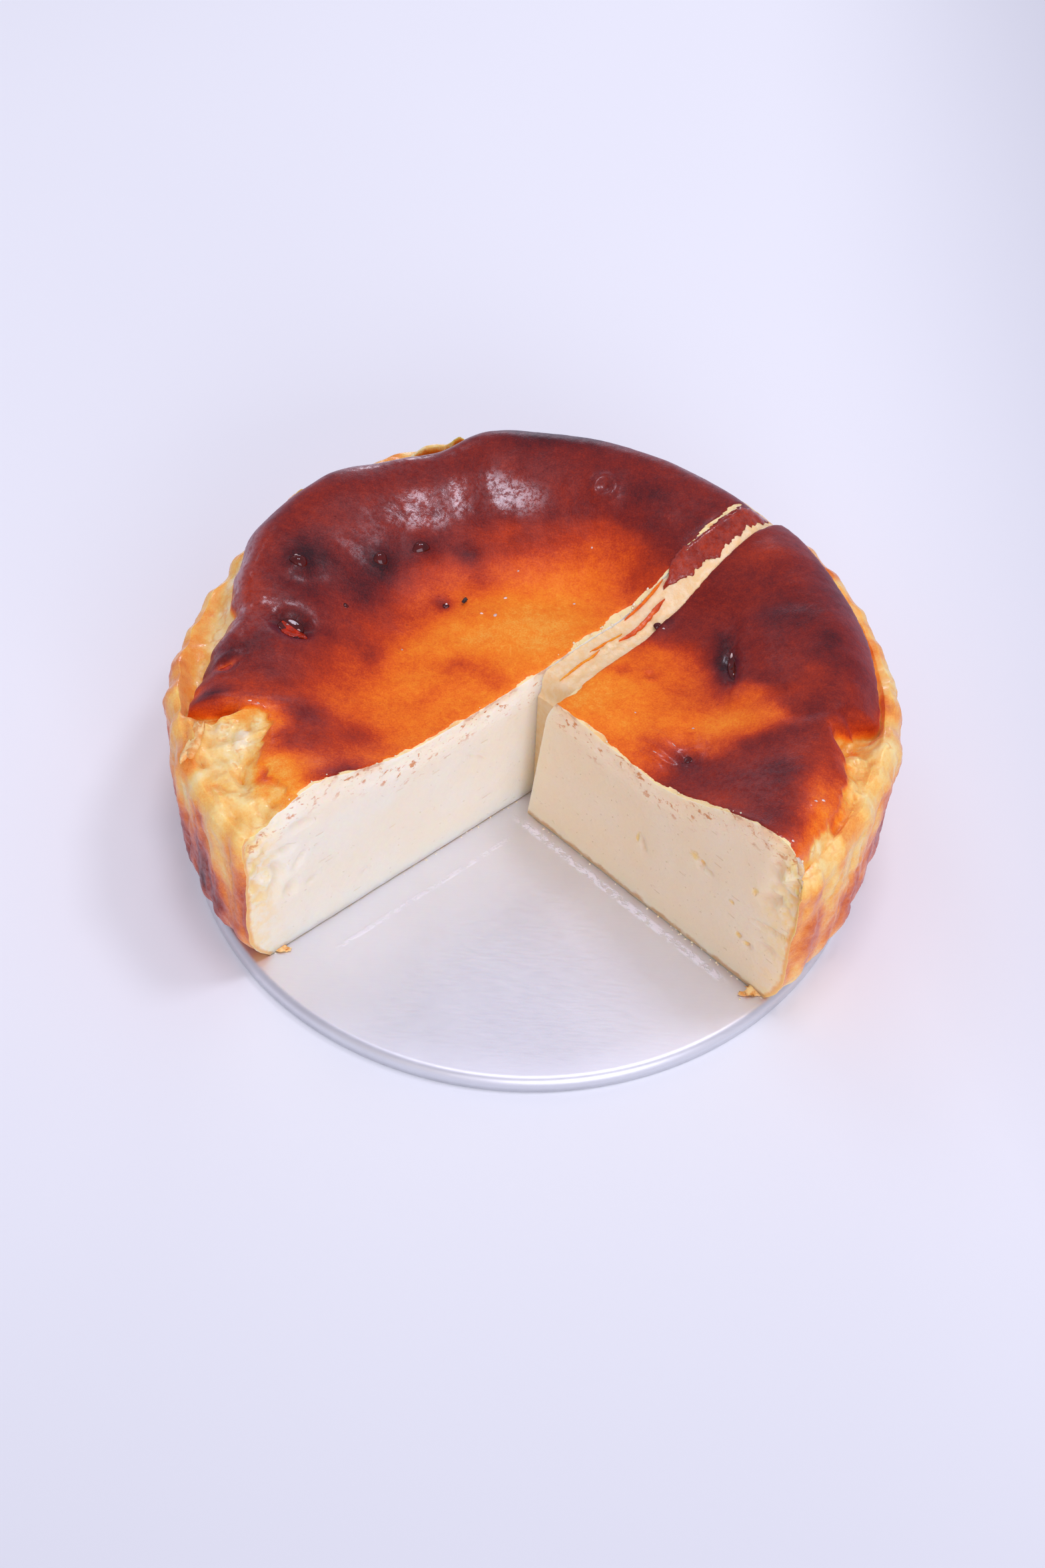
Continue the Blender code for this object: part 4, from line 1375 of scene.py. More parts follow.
@dataclass(frozen=True)
class BrownedSkin:
    """Skin and wall: one scale of browning from cream to burnt, with pores and wet patches."""

    name: str
    scale: tuple[tuple[float, Colour], ...] = (
        (0.00, (250, 232, 200)), (0.07, (252, 224, 164)), (0.14, (251, 206, 122)), (0.24, (248, 174, 66)),
        (0.33, (247, 141, 24)), (0.42, (238, 112, 8)), (0.50, (220, 86, 4)), (0.60, (186, 56, 4)),
        (0.70, (152, 40, 8)), (0.80, (120, 25, 10)), (0.90, (86, 13, 10)), (1.00, (44, 6, 7)),
    )
    papered: tuple[tuple[float, Colour], ...] = (
        (0.00, (251, 233, 198)), (0.12, (253, 221, 150)), (0.24, (251, 196, 104)), (0.36, (244, 162, 70)),
        (0.48, (228, 124, 36)), (0.60, (200, 86, 22)), (0.74, (158, 54, 14)), (0.88, (104, 34, 14)),
        (1.00, (60, 20, 12)),
    )
    cream: Colour = (252, 224, 166)
    crumb: Colour = (240, 178, 92)
    # Painted shade: darker gold laid along the creases between the pale curds.
    crease: Colour = (238, 164, 62)
    pore: Colour = (70, 18, 10)
    bloom: Colour = (200, 188, 255)
    dull: float = 0.42

    def make(self) -> bpy.types.Material:
        """Builds the material.

        Returns:
            The finished material.
        """
        mix = Recipe(self.name)
        brown, shine, bare = mix.value("brown"), mix.value("shine"), mix.value("bare")
        cloud = mix.speckle(5.5, 3.0, 0.55, 0.4)
        mottle = mix.speckle(1.3, 3.0, 0.6)
        freckle = mix.speckle(0.38, 2.0, 0.7)
        level = mix.sum("MULTIPLY_ADD", cloud, 0.14, brown)
        level = mix.sum("MULTIPLY_ADD", mottle, 0.15, level)
        level = mix.sum("ADD", mix.times(mix.swing(freckle), mix.band(brown, 0.08, 0.34, 0.05, 0.24)), level)
        level = mix.sum("SUBTRACT", level, 0.145)
        colour = mix.blend(mix.value("rind"), mix.ramp(level, self.scale), mix.ramp(level, self.papered))
        pores = mix.node("ShaderNodeTexVoronoi", {"Vector": mix.place, "Scale": 900.0, "Randomness": 1.0})
        open_pore = mix.band(pores.outputs["Distance"], 0.10, 0.20, 1.0, 0.0)
        browned = mix.band(brown, 0.30, 0.55)
        rare = mix.band(mix.speckle(2.4, 1.0, 0.5, seed=0.3), 0.60, 0.70)
        specks = mix.times(mix.times(open_pore, browned), rare)
        colour = mix.blend(mix.times(specks, 0.30), colour, self.pore)
        creases = self.creases(mix, brown)
        # Painted shade in the creases.
        colour = mix.blend(mix.times(creases, 0.55), colour, self.crease)
        edge = mix.sum("MULTIPLY_ADD", mix.swing(mottle), 0.9, bare)
        bared = mix.band(edge, 0.42, 0.58)
        inside = mix.blend(mix.band(cloud, 0.52, 0.62, 0.0, 0.55), self.cream, self.crumb)
        colour = mix.blend(bared, colour, inside)
        wet = mix.band(mix.speckle(1.3, 4.0, 0.7, 0.3, seed=0.7), 0.40, 0.56, 0.12, 1.0)
        dry = mix.sum("SUBTRACT", 1.0, bared)
        coat = mix.times(mix.times(shine, wet), dry)
        rough = mix.sum("MULTIPLY_ADD", mottle, 0.12, self.dull - 0.06)
        broad = mix.raise_by(mix.speckle(2.8, 2.0, 0.5), 0.16)
        small = mix.raise_by(freckle, 0.07, broad)
        pitted = mix.sink(specks, 0.06, small)
        pitted = mix.sink(creases, 0.10, pitted)
        film = mix.raise_by(mix.speckle(1.2, 3.0, 0.6, seed=1.3), 0.045)
        pale = mix.sum("MAXIMUM", mix.band(brown, 0.26, 0.46, 0.75, 0.05), mix.times(bared, 0.6))
        mix.set(Base_Color=colour, Roughness=rough, Normal=pitted, Subsurface_Weight=pale,
                Subsurface_Scale=0.0016, Subsurface_Radius=(1.0, 0.72, 0.46), Specular_IOR_Level=0.20,
                Sheen_Weight=0.09, Sheen_Roughness=0.5, Sheen_Tint=linear(self.bloom),
                Coat_Weight=coat, Coat_Roughness=0.17, Coat_Normal=film)
        return mix.material

    def creases(self, mix: Recipe, brown: Socket) -> Socket:
        """Creases between the curds where the skin has torn off, coloured darker gold as painted shade.

        Args:
            mix: Material under construction.
            brown: Browning of the surface.

        Returns:
            1 in a crease and 0 elsewhere.
        """
        wobble = mix.node("ShaderNodeTexNoise", {"Vector": mix.place, "Scale": 260.0, "Detail": 2.0})
        parts = {0: wobble.outputs["Color"], 1: (0.0042, 0.0042, 0.0042), 2: mix.place}
        bent = mix.node("ShaderNodeVectorMath", parts, operation="MULTIPLY_ADD").outputs[0]
        inputs = {"Vector": bent, "Scale": 290.0, "Randomness": 1.0}
        cells = mix.node("ShaderNodeTexVoronoi", inputs, feature="DISTANCE_TO_EDGE")
        line = mix.band(cells.outputs["Distance"], 0.0, 0.16, 1.0, 0.0)
        broken = mix.band(mix.speckle(3.2, 2.0, 0.5, seed=2.2), 0.46, 0.58)
        pale = mix.band(brown, 0.12, 0.26, 1.0, 0.0)
        return mix.times(line, mix.times(broken, pale))


@dataclass(frozen=True)
class CutCurd:
    """Cut face: dense cream with slits and pores, brown crumbs under the skin and a gold rind at the wall."""

    name: str
    cream: Colour = (243, 230, 208)
    warm: Colour = (246, 224, 184)
    rind: Colour = (236, 164, 84)
    brown: Colour = (176, 84, 36)
    fleck: Colour = (206, 116, 22)
    yellow: Colour = (249, 212, 128)
    # Painted shade: darker, yellower cream blended into the holes.
    hole_shade: Colour = (250, 204, 110)
    # Painted shade: darker cream blended into the slits and pinholes.
    slit_shade: Colour = (238, 202, 148)
    at_foot: Colour = (204, 132, 70)
    slant: float = 55.0
    foot_rind: float = 0.15
    holes: tuple[tuple[float, float, float, float], ...] = ()

    def make(self) -> bpy.types.Material:
        """Builds the material.

        Returns:
            The finished material.
        """
        mix = Recipe(self.name)
        depth, skin, left = mix.value("depth"), mix.value("skin"), mix.value("left")
        holes: Socket | None = None
        flat = mix.node("ShaderNodeUVMap", uv_map="Surface").outputs["UV"]
        soft = mix.speckle(14.0, 2.0, 0.5)
        colour = mix.blend(mix.band(soft, 0.35, 0.65, 0.0, 0.45), self.cream, self.warm)
        ragged = mix.times(mix.swing(mix.speckle(1.8, 3.0, 0.6)), 2.6)
        below = mix.sum("ADD", depth, ragged)
        golden = mix.times(mix.band(below, 0.8, 2.2, 1.0, 0.0), skin)
        colour = mix.blend(mix.times(golden, 0.45), colour, self.rind)
        broken = mix.band(mix.speckle(3.4, 2.0, 0.5, seed=3.0), 0.40, 0.52)
        line = mix.times(mix.band(below, 0.35, 0.8, 1.0, 0.0), mix.times(skin, broken))
        colour = mix.blend(mix.times(line, 0.85), colour, self.brown)
        near_wall = mix.band(mix.sum("ADD", left, mix.times(ragged, 1.8)), 1.5, 11.0, 1.0, 0.0)
        upper = mix.band(depth, 16.0, 38.0, 1.0, 0.45)
        yellowed = mix.band(mix.speckle(2.6, 3.0, 0.6, seed=4.0), 0.40, 0.62, 0.25, 1.0)
        near_wall = mix.times(near_wall, yellowed)
        colour = mix.blend(mix.times(mix.times(near_wall, upper), 0.8), colour, self.yellow)
        rind_line = mix.band(mix.sum("ADD", left, mix.times(ragged, 0.5)), 0.5, 1.5, 1.0, 0.0)
        colour = mix.blend(mix.times(rind_line, 0.8), colour, self.rind)
        stretched = mix.node("ShaderNodeMapping", {"Vector": flat, "Scale": (0.7, 1.1, 1.0)}).outputs[0]
        wander = mix.times(mix.swing(mix.speckle(16.0, 1.0, 0.5, seed=8.0)), 7.0)
        deep = mix.sum("ADD", depth, wander)
        zone = mix.times(mix.band(deep, 0.4, 1.6), mix.band(deep, 2.4, 8.0, 1.0, 0.0))
        streaks = self.patches(mix, stretched, 46.0, 0.585, 0.66)
        crumbs = self.patches(mix, stretched, 110.0, 0.60, 0.68)
        flecks = mix.times(mix.sum("MAXIMUM", streaks, mix.times(crumbs, 0.7)), zone)
        colour = mix.blend(mix.times(flecks, 0.80), colour, self.fleck)
        spots = mix.sum("MAXIMUM", flecks, line)
        for along, height, wide, tall in self.holes:
            hole = self.hole(mix, flat, along, height, wide, tall)
            # Painted shade inside each hole.
            colour = mix.blend(mix.times(hole, 0.75), colour, self.hole_shade)
            holes = hole if holes is None else mix.sum("MAXIMUM", holes, hole)
        base = mix.sum("ADD", mix.node("ShaderNodeSeparateXYZ", {"Vector": flat}).outputs["Y"],
                       mix.times(mix.swing(mix.speckle(3.0, 3.0, 0.6, seed=6.0)), 0.03))
        foot = mix.band(base, 0.047, 0.060, self.foot_rind, 0.0)
        colour = mix.blend(foot, colour, self.at_foot)
        slits = self.slits(mix, flat)
        pinholes = mix.band(mix.speckle(0.9, 2.0, 0.5, seed=5.0), 0.70, 0.76)
        hollow = mix.sum("MAXIMUM", slits, mix.times(pinholes, 0.7))
        # Painted shade in the slits and pinholes.
        colour = mix.blend(mix.times(hollow, 0.30), colour, self.slit_shade)
        curdle = mix.raise_by(mix.speckle(1.1, 3.0, 0.6), 0.14)
        smear = mix.raise_by(mix.speckle(6.0, 2.0, 0.5), 0.25, curdle)
        normal = mix.sink(hollow, 0.35, smear)
        if holes is not None:
            normal = mix.sink(holes, 0.30, normal)
        rough = mix.band(mix.speckle(2.2, 2.0), 0.3, 0.7, 0.42, 0.55)
        mix.set(Base_Color=colour, Roughness=rough, Normal=normal,
                Subsurface_Weight=mix.sum("MULTIPLY_ADD", spots, -0.7, 0.75), Subsurface_Scale=0.006,
                Subsurface_Radius=(1.0, 0.66, 0.34), Specular_IOR_Level=0.4)
        return mix.material

    def patches(self, mix: Recipe, flat: Socket, fineness: float, low: float, high: float) -> Socket:
        """Irregular patches on the face, from the noise at which one starts to that where it is full."""
        inputs = {"Vector": flat, "Scale": fineness, "Detail": 3.0, "Roughness": 0.6, "Distortion": 0.3}
        return mix.band(mix.node("ShaderNodeTexNoise", inputs).outputs["Fac"], low, high)

    def hole(self, mix: Recipe, flat: Socket, along: float, height: float, wide: float,
             tall: float) -> Socket:
        """One ragged hole in the face.

        Args:
            mix: Material under construction.
            flat: Pattern coordinates on the face.
            along: Millimetres from the tip.
            height: Millimetres above the table.
            wide: Half of its width.
            tall: Half of its height.

        Returns:
            1 in the hole and 0 elsewhere.
        """
        unit = PATTERN_UNIT
        moved = mix.node("ShaderNodeVectorMath", {0: flat, 1: (along / unit, height / unit, 0.0)},
                         operation="SUBTRACT").outputs[0]
        scaled = mix.node("ShaderNodeVectorMath", {0: moved, 1: (unit / wide, unit / tall, 0.0)},
                          operation="MULTIPLY").outputs[0]
        away = mix.node("ShaderNodeVectorMath", {0: scaled}, operation="LENGTH").outputs["Value"]
        ragged = mix.sum("MULTIPLY_ADD", mix.swing(mix.speckle(1.0, 2.0, 0.6)), 1.6, away)
        return mix.band(ragged, 0.15, 1.30, 1.0, 0.0)

    def slits(self, mix: Recipe, flat: Socket) -> Socket:
        """Short slanted slits where bubbles were stretched.

        Args:
            mix: Material under construction.
            flat: Pattern coordinates on the face.

        Returns:
            1 in a slit and 0 elsewhere.
        """
        lean = (0.0, 0.0, math.radians(-self.slant))
        inputs = {"Vector": flat, "Rotation": lean, "Scale": (16.0, 95.0, 1.0)}
        turned = mix.node("ShaderNodeMapping", inputs).outputs[0]
        cells = mix.node("ShaderNodeTexVoronoi", {"Vector": turned, "Scale": 1.0, "Randomness": 1.0})
        chosen = mix.node("ShaderNodeSeparateColor", {"Color": cells.outputs["Color"]}).outputs["Red"]
        inside = mix.band(cells.outputs["Distance"], 0.10, 0.18, 1.0, 0.0)
        return mix.times(inside, mix.band(chosen, 0.87, 0.90))


@dataclass(frozen=True)
class GlossyBead:
    """Glossy bead finish: dark caramel or amber jelly that has come through the skin, or the pale painted
    glint of a tiny bubble.
    """

    name: str
    colour: Colour
    roughness: float = 0.08

    def make(self) -> bpy.types.Material:
        """Builds the material.

        Returns:
            The finished material.
        """
        mix = Recipe(self.name)
        shade = mix.band(mix.speckle(1.2, 2.0, 0.5), 0.3, 0.7)
        darker = tuple(0.75 * channel for channel in self.colour)
        mix.set(Base_Color=mix.blend(shade, darker, self.colour), Roughness=self.roughness,
                Normal=mix.raise_by(mix.speckle(1.6, 2.0, 0.5), 0.06), Specular_IOR_Level=0.4)
        return mix.material


@dataclass(frozen=True)
class CrumbFinish:
    """Crumbs of one colour, a little uneven."""

    name: str
    colour: Colour
    shade: Colour
    roughness: float = 0.5

    def make(self) -> bpy.types.Material:
        """Builds the material.

        Returns:
            The finished material.
        """
        mix = Recipe(self.name)
        share = mix.band(mix.speckle(1.6, 3.0, 0.6), 0.35, 0.65)
        mix.set(Base_Color=mix.blend(share, self.colour, self.shade), Roughness=self.roughness,
                Normal=mix.raise_by(mix.speckle(0.4, 3.0, 0.6), 0.1), Subsurface_Weight=0.15,
                Subsurface_Scale=0.0012)
        return mix.material


@dataclass(frozen=True)
class SatinTin:
    """Satin sheet aluminium with faint rolling marks and smears of cream."""

    name: str
    colour: Colour = (226, 227, 231)
    shade: Colour = (208, 207, 213)
    cream: Colour = (240, 236, 240)

    def make(self) -> bpy.types.Material:
        """Builds the material.

        Returns:
            The finished material.
        """
        mix = Recipe(self.name)
        rolled = mix.node("ShaderNodeMapping", {"Vector": mix.place, "Rotation": (0, 0, math.radians(8)),
                                                "Scale": (0.12, 1.0, 1.0)}).outputs[0]
        marks = mix.speckle(0.5, 3.0, 0.6, where=rolled)
        cloud = mix.speckle(18.0, 3.0, 0.5)
        colour = mix.blend(mix.band(cloud, 0.3, 0.7, 0.0, 0.25), self.colour, self.shade)
        first = self.smear(mix, (20.8, -27.0), -42.4, 33.0, 1.3)
        second = self.smear(mix, (-21.0, -28.0), 41.7, 26.0, 0.8)
        film = mix.sum("MAXIMUM", first, mix.times(second, 0.5))
        colour = mix.blend(mix.times(film, 0.75), colour, self.cream)
        rough = mix.band(marks, 0.3, 0.7, 0.44, 0.52)
        rough = mix.sum("ADD", rough, mix.times(film, 0.25))
        fine = mix.raise_by(marks, 0.006)
        normal = mix.raise_by(film, 0.06, fine)
        metal = mix.sum("SUBTRACT", 1.0, mix.times(film, 0.7))
        mix.set(Base_Color=colour, Roughness=rough, Normal=normal, Metallic=metal)
        return mix.material

    def smear(self, mix: Recipe, middle: Pair, turn: float, half_length: float, half_width: float) -> Socket:
        """A broken streak of cream along a straight line on the sheet.

        Args:
            mix: Material under construction.
            middle: Middle of the streak in plan.
            turn: Direction of the line.
            half_length: Half of its length.
            half_width: Half of its width.

        Returns:
            0 on bare metal to 1 in the streak.
        """
        moved = mix.node("ShaderNodeVectorMath", {0: mix.place, 1: (middle[0] * MM, middle[1] * MM, 0.0)},
                         operation="SUBTRACT").outputs[0]
        laid = mix.node("ShaderNodeVectorRotate", {"Vector": moved, "Angle": math.radians(-turn)},
                        rotation_type="Z_AXIS").outputs[0]
        parts = mix.node("ShaderNodeSeparateXYZ", {"Vector": laid})
        along = mix.sum("ABSOLUTE", parts.outputs["X"])
        across = mix.sum("ABSOLUTE", parts.outputs["Y"])
        shape = mix.times(mix.band(along, 0.8 * half_length * MM, half_length * MM, 1.0, 0.0),
                          mix.band(across, 0.3 * half_width * MM, half_width * MM, 1.0, 0.0))
        broken = mix.band(mix.speckle(1.5, 4.0, 0.7), 0.42, 0.58)
        return mix.times(shape, broken)


@dataclass(frozen=True)
class PaleFloor:
    """Smooth pale board under the cake, with painted shade towards the front and the right, where the light
    falls off.
    """

    name: str
    colour: Colour = (242, 245, 247)
    shade: Colour = (238, 241, 244)
    # Painted shade: colour of the floor towards the front and the right, where the light falls off.
    front: Colour = (212, 215, 220)

    def make(self) -> bpy.types.Material:
        """Builds the material.

        Returns:
            The finished material.
        """
        mix = Recipe(self.name)
        cloud = mix.band(mix.speckle(180.0, 2.0), 0.3, 0.7, 0.0, 0.35)
        board = mix.blend(cloud, self.colour, self.shade)
        parts = mix.node("ShaderNodeSeparateXYZ", {"Vector": mix.place}).outputs
        across, away = parts["X"], parts["Y"]
        # Painted shade: darker towards the front (smaller y) and towards the right (larger x).
        near, aside = mix.band(away, -0.34, 0.02, 1.0, 0.0), mix.band(across, 0.06, 0.20)
        painted_falloff = mix.sum("MAXIMUM", near, aside)
        mix.set(Base_Color=mix.blend(painted_falloff, board, self.front), Roughness=0.55, Specular_IOR_Level=0.3)
        return mix.material


# ------------------------------------------------------------------------------
# Tin base
# ------------------------------------------------------------------------------


@dataclass
class TinBase:
    """Loose base of the tin: a disc of thin sheet with a rounded, turned-down rim."""

    radius: float = 75.0
    height: float = 4.0
    sheet: float = 0.9
    rounding: float = 1.7
    segments: int = 288
    arc_steps: int = 10
    top_rings: int = 12

    def profile(self) -> list[Pair]:
        """Outline from near the middle of the top, round the rim, to near the middle of the underside.

        Returns:
            Radius and height of each turn.
        """
        flat = self.radius - self.rounding
        points = [(flat * ring / self.top_rings, self.height) for ring in range(1, self.top_rings)]
        for step in range(self.arc_steps + 1):
            turn = math.pi / 2 * step / self.arc_steps
            points.append((flat + self.rounding * math.sin(turn),
                           self.height - self.rounding * (1 - math.cos(turn))))
        inside, ceiling = self.radius - self.sheet, self.height - self.sheet
        lip = 0.25
        points += [(self.radius, lip), (self.radius - lip, 0.0), (inside + lip, 0.0), (inside, lip)]
        inner = self.rounding - self.sheet
        for step in range(self.arc_steps + 1):
            turn = math.pi / 2 * (1 - step / self.arc_steps)
            points.append((inside - inner * (1 - math.sin(turn)), ceiling - inner * (1 - math.cos(turn))))
        points += [(flat * ring / self.top_rings, ceiling) for ring in range(self.top_rings - 1, 0, -1)]
        return points

    def build(self, finish: bpy.types.Material) -> bpy.types.Object:
        """Turns the profile into a closed mesh.

        Args:
            finish: Material of the sheet.

        Returns:
            The finished object, standing for its solid.
        """
        profile = self.profile()
        points = [(0.0, 0.0, self.height), (0.0, 0.0, self.height - self.sheet)]
        for radius, height in profile:
            for segment in range(self.segments):
                turn = math.tau * segment / self.segments
                points.append((radius * math.cos(turn), radius * math.sin(turn), height))
        faces = []
        last = 2 + (len(profile) - 1) * self.segments
        for segment in range(self.segments):
            after = (segment + 1) % self.segments
            faces.append((0, 2 + segment, 2 + after))
            faces.append((1, last + after, last + segment))
            for row in range(len(profile) - 1):
                here, below = 2 + row * self.segments, 2 + (row + 1) * self.segments
                faces.append((here + segment, below + segment, below + after, here + after))
        mesh = bpy.data.meshes.new("base_of_tin")
        mesh.from_pydata((np.array(points) * MM).tolist(), [], faces)
        mesh.materials.append(finish)
        mesh.shade_smooth()
        mesh.set_sharp_from_angle(angle=math.radians(SHEET_EDGE_ANGLE))
        obj = bpy.data.objects.new("base_of_tin", mesh)
        bpy.context.scene.collection.objects.link(obj)
        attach(obj, BODY)
        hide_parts("tin_base")
        LOG.info("base_of_tin: %d faces", len(faces))
        return obj


# ------------------------------------------------------------------------------
# Small pieces: what the knife left in the cut, syrup, painted glint beads, flakes and crumbs
# ------------------------------------------------------------------------------


def enrol(mesh: bpy.types.Mesh, node: str, finish: bpy.types.Material) -> bpy.types.Object:
    """Puts a finished mesh into the scene as a piece of the cake.

    Args:
        mesh: Mesh that already stands in its place.
        node: Name of the solid that it belongs to; not used.
        finish: Its material.

    Returns:
        The piece.
    """
    mesh.materials.clear()
    mesh.materials.append(finish)
    work = bmesh.new()
    work.from_mesh(mesh)
    bmesh.ops.recalc_face_normals(work, faces=work.faces)
    work.to_mesh(mesh)
    work.free()
    obj = bpy.data.objects.new(mesh.name, mesh)
    bpy.context.scene.collection.objects.link(obj)
    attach(obj, BODY)
    LOG.info("%s: %d faces", mesh.name, len(mesh.polygons))
    return obj


def closed_slab(upper: Array, lower: Array) -> tuple[Array, list[list[int]]]:
    """Closes the space between two grids of points.

    Args:
        upper: Points by row and column, with x, y and z last.
        lower: Points below them.

    Returns:
        The points and the faces.
    """
    rows, columns = upper.shape[:2]
    points = np.concatenate([upper.reshape(-1, 3), lower.reshape(-1, 3)])
    top = np.arange(rows * columns).reshape(rows, columns)
    base = top + rows * columns
    faces = np.stack([top[:-1, :-1], top[1:, :-1], top[1:, 1:], top[:-1, 1:]], -1).reshape(-1, 4).tolist()
    faces += quads(base)
    rim = [*top[0, :], *top[1:, -1], *top[-1, -2::-1], *top[-2:0:-1, 0]]
    for here, after in zip(rim, rim[1:] + rim[:1]):
        faces.append([int(here), int(after), int(after) + rows * columns, int(here) + rows * columns])
    return points, faces


def join_parts(title: str, parts: list[tuple[Array, list[list[int]]]]) -> bpy.types.Mesh:
    """Makes one smooth mesh of several closed parts.

    Args:
        title: Name of the mesh.
        parts: Points and faces of each part.

    Returns:
        The mesh.
    """
    points: list[Array] = []
    faces: list[list[int]] = []
    for found, sides in parts:
        start = sum(len(part) for part in points)
        points.append(found)
        faces += [[start + corner for corner in side] for side in sides]
    mesh = bpy.data.meshes.new(title)
    mesh.from_pydata((np.concatenate(points) * MM).tolist(), [], faces)
    mesh.shade_smooth()
    return mesh


@dataclass
class CutFilling:
    """Curds that the knife has dragged along and left between the two pieces, just under their skins."""

    half: CakeWedge
    quarter: CakeWedge
    start: float = 2.2
    end: float = 69.5
    steps: int = 230
    across: int = 14
    sunk: float = 0.75
    bite: float = 0.9
    foot: float = 5.0

    def edge(self, wedge: CakeWedge, face: int, along: Array, level: float) -> tuple[Array, Array]:
        """Points a little way into a piece of cake from its cut face.

        Args:
            wedge: Piece of cake.
            face: Which cut face.
            along: Distances from the half's tip along the cut.
            level: Level on the face, from 0 at the top to 1 at the foot.

        Returns:
            Plan x and y.
        """
        tip, angle = wedge.tip_and_angle(np.array(float(face)), np.array(level))
        reach = along - (tip[0] * math.cos(angle) + tip[1] * math.sin(angle))
        into = self.bite if wedge is self.half else -self.bite
        x = tip[0] + reach * math.cos(angle) - into * math.sin(angle)
        return x, tip[1] + reach * math.sin(angle) + into * math.cos(angle)

    def across_gap(self, along: Array, share: Array, level: float = 0.05) -> Array:
        """Points of a skin drawn from one piece to the other.

        Args:
            along: Distances from the half's tip along the cut.
            share: Shares of the way from the half to the quarter.
            level: Level on the cut faces.

        Returns:
            Points with x, y and z last.
        """
        near_x, near_y = self.edge(self.half, 0, along, level)
        far_x, far_y = self.edge(self.quarter, 1, along, level)
        near, far = self.half.skin_height(near_x, near_y), self.quarter.skin_height(far_x, far_y)
        x, y = near_x + (far_x - near_x) * share, near_y + (far_y - near_y) * share
        return np.stack([x, y, near + (far - near) * np.clip(share, 0.0, 1.0)], -1)

    def build(self, finish: bpy.types.Material) -> bpy.types.Object:
        """Makes the filling.

        Args:
            finish: Its material.

        Returns:
            The piece.
        """
        along = np.linspace(self.start, self.end, self.steps + 1)[:, None]
        share = np.linspace(0.0, 1.0, self.across + 1)[None, :]
        upper = self.across_gap(along, share)
        x, y = upper[..., 0], upper[..., 1]
        ends = smooth((self.start + 1.6 - along) / 1.6) + smooth((along - self.end + 1.5) / 1.5)
        turned = along * np.ones_like(share)
        upper[..., 2] += 0.20 * curds(turned * 0.45, y - x, 0.0, 2.6, 2.0) + 0.12 * curds(x, y, 5.0, 1.7, 2.0)
        upper[..., 2] -= self.sunk + 1.1 * ends + 4.0 * smooth((self.start + 3.5 - along) / 3.5)
        lower = self.across_gap(along, share, 1.0)
        lower[..., 2] = self.foot
        mesh = join_parts("curds_in_the_cut", [closed_slab(upper, lower)])
        mesh.set_sharp_from_angle(angle=math.radians(SHEET_EDGE_ANGLE))
        return enrol(mesh, "half_cake", finish)


@dataclass(frozen=True)
class Strip:
    """A strip of skin along the cut: its ends, its sides as shares of the gap, and how it lies and looks."""

    start: float
    end: float
    near: float
    far: float
    rise: float
    droop: float
    brown: float
    shine: float = 0.0
    taper: float = 2.4


@dataclass
class SkinStrips:
    """Skin that the knife has torn off and left lying along the cut."""

    filling: CutFilling
    strips: tuple[Strip, ...]
    step: float = 0.35
    across: int = 10
    thickness: float = 0.6

    def slab(self, strip: Strip) -> tuple[Array, list[list[int]], Array]:
        """Points and faces of one strip.

        Args:
            strip: The strip.

        Returns:
            Its points, its faces and the browning of each point.
        """
        count = int((strip.end - strip.start) / self.step) + 1
        along = np.linspace(strip.start, strip.end, count)[:, None]
        step = np.linspace(0.0, 1.0, self.across + 1)[None, :]
        ends = smooth((along - strip.start) / strip.taper), smooth((strip.end - along) / 2.4)
        taper = np.minimum(*ends) ** 0.7
        middle = 0.5 * (strip.near + strip.far) + 0.10 * grain(along, 0.0, strip.start, 5.5, 1.0)
        ragged = 1.0 + 0.45 * grain(along, step, strip.start, 1.5, 2.0)
        ragged = ragged + 0.3 * grain(along, step, 9.0, 0.7, 2.0)
        half = 0.5 * (strip.far - strip.near) * (0.05 + 0.95 * taper) * ragged
        share = middle + half * (2.0 * step - 1.0)
        upper = self.filling.across_gap(along, share)
        edge = np.minimum(1.0, 4.0 * np.minimum(step, 1.0 - step) + 0.35) * np.ones_like(along)
        x, y = upper[..., 0], upper[..., 1]
        upper[..., 2] += strip.rise - strip.droop * smooth(step) + 0.10 * grain(x, y, 0.0, 1.3, 3.0)
        lower = upper.copy()
        upper[..., 2] += 0.5 * self.thickness * edge
        lower[..., 2] -= 0.5 * self.thickness * edge
        points, faces = closed_slab(upper, lower)
        level = strip.brown + 0.10 * grain(x, y, 5.0, 3.0, 3.0)
        return points, faces, np.concatenate([level.ravel(), level.ravel()])

    def build(self, finish: bpy.types.Material) -> bpy.types.Object:
        """Makes the strips.

        Args:
            finish: Their material.

        Returns:
            The piece.
        """
        slabs = [self.slab(strip) for strip in self.strips]
        mesh = join_parts("skin_strips_in_the_cut", [slab[:2] for slab in slabs])
        brown = [level for _, _, level in slabs]
        shine = [np.full(len(level), strip.shine) for strip, level in zip(self.strips, brown)]
        for name, levels in (("brown", brown), ("shine", shine)):
            mesh.attributes.new(name, "FLOAT", "POINT").data.foreach_set("value", np.concatenate(levels))
        mesh.attributes.new("bare", "FLOAT", "POINT")
        return enrol(mesh, "half_cake", finish)


@dataclass(frozen=True)
class Drop:
    """An oval bead on the skin."""

    x: float
    y: float
    wide: float
    deep: float
    turn: float
    rise: float
    wobble: float = 0.12


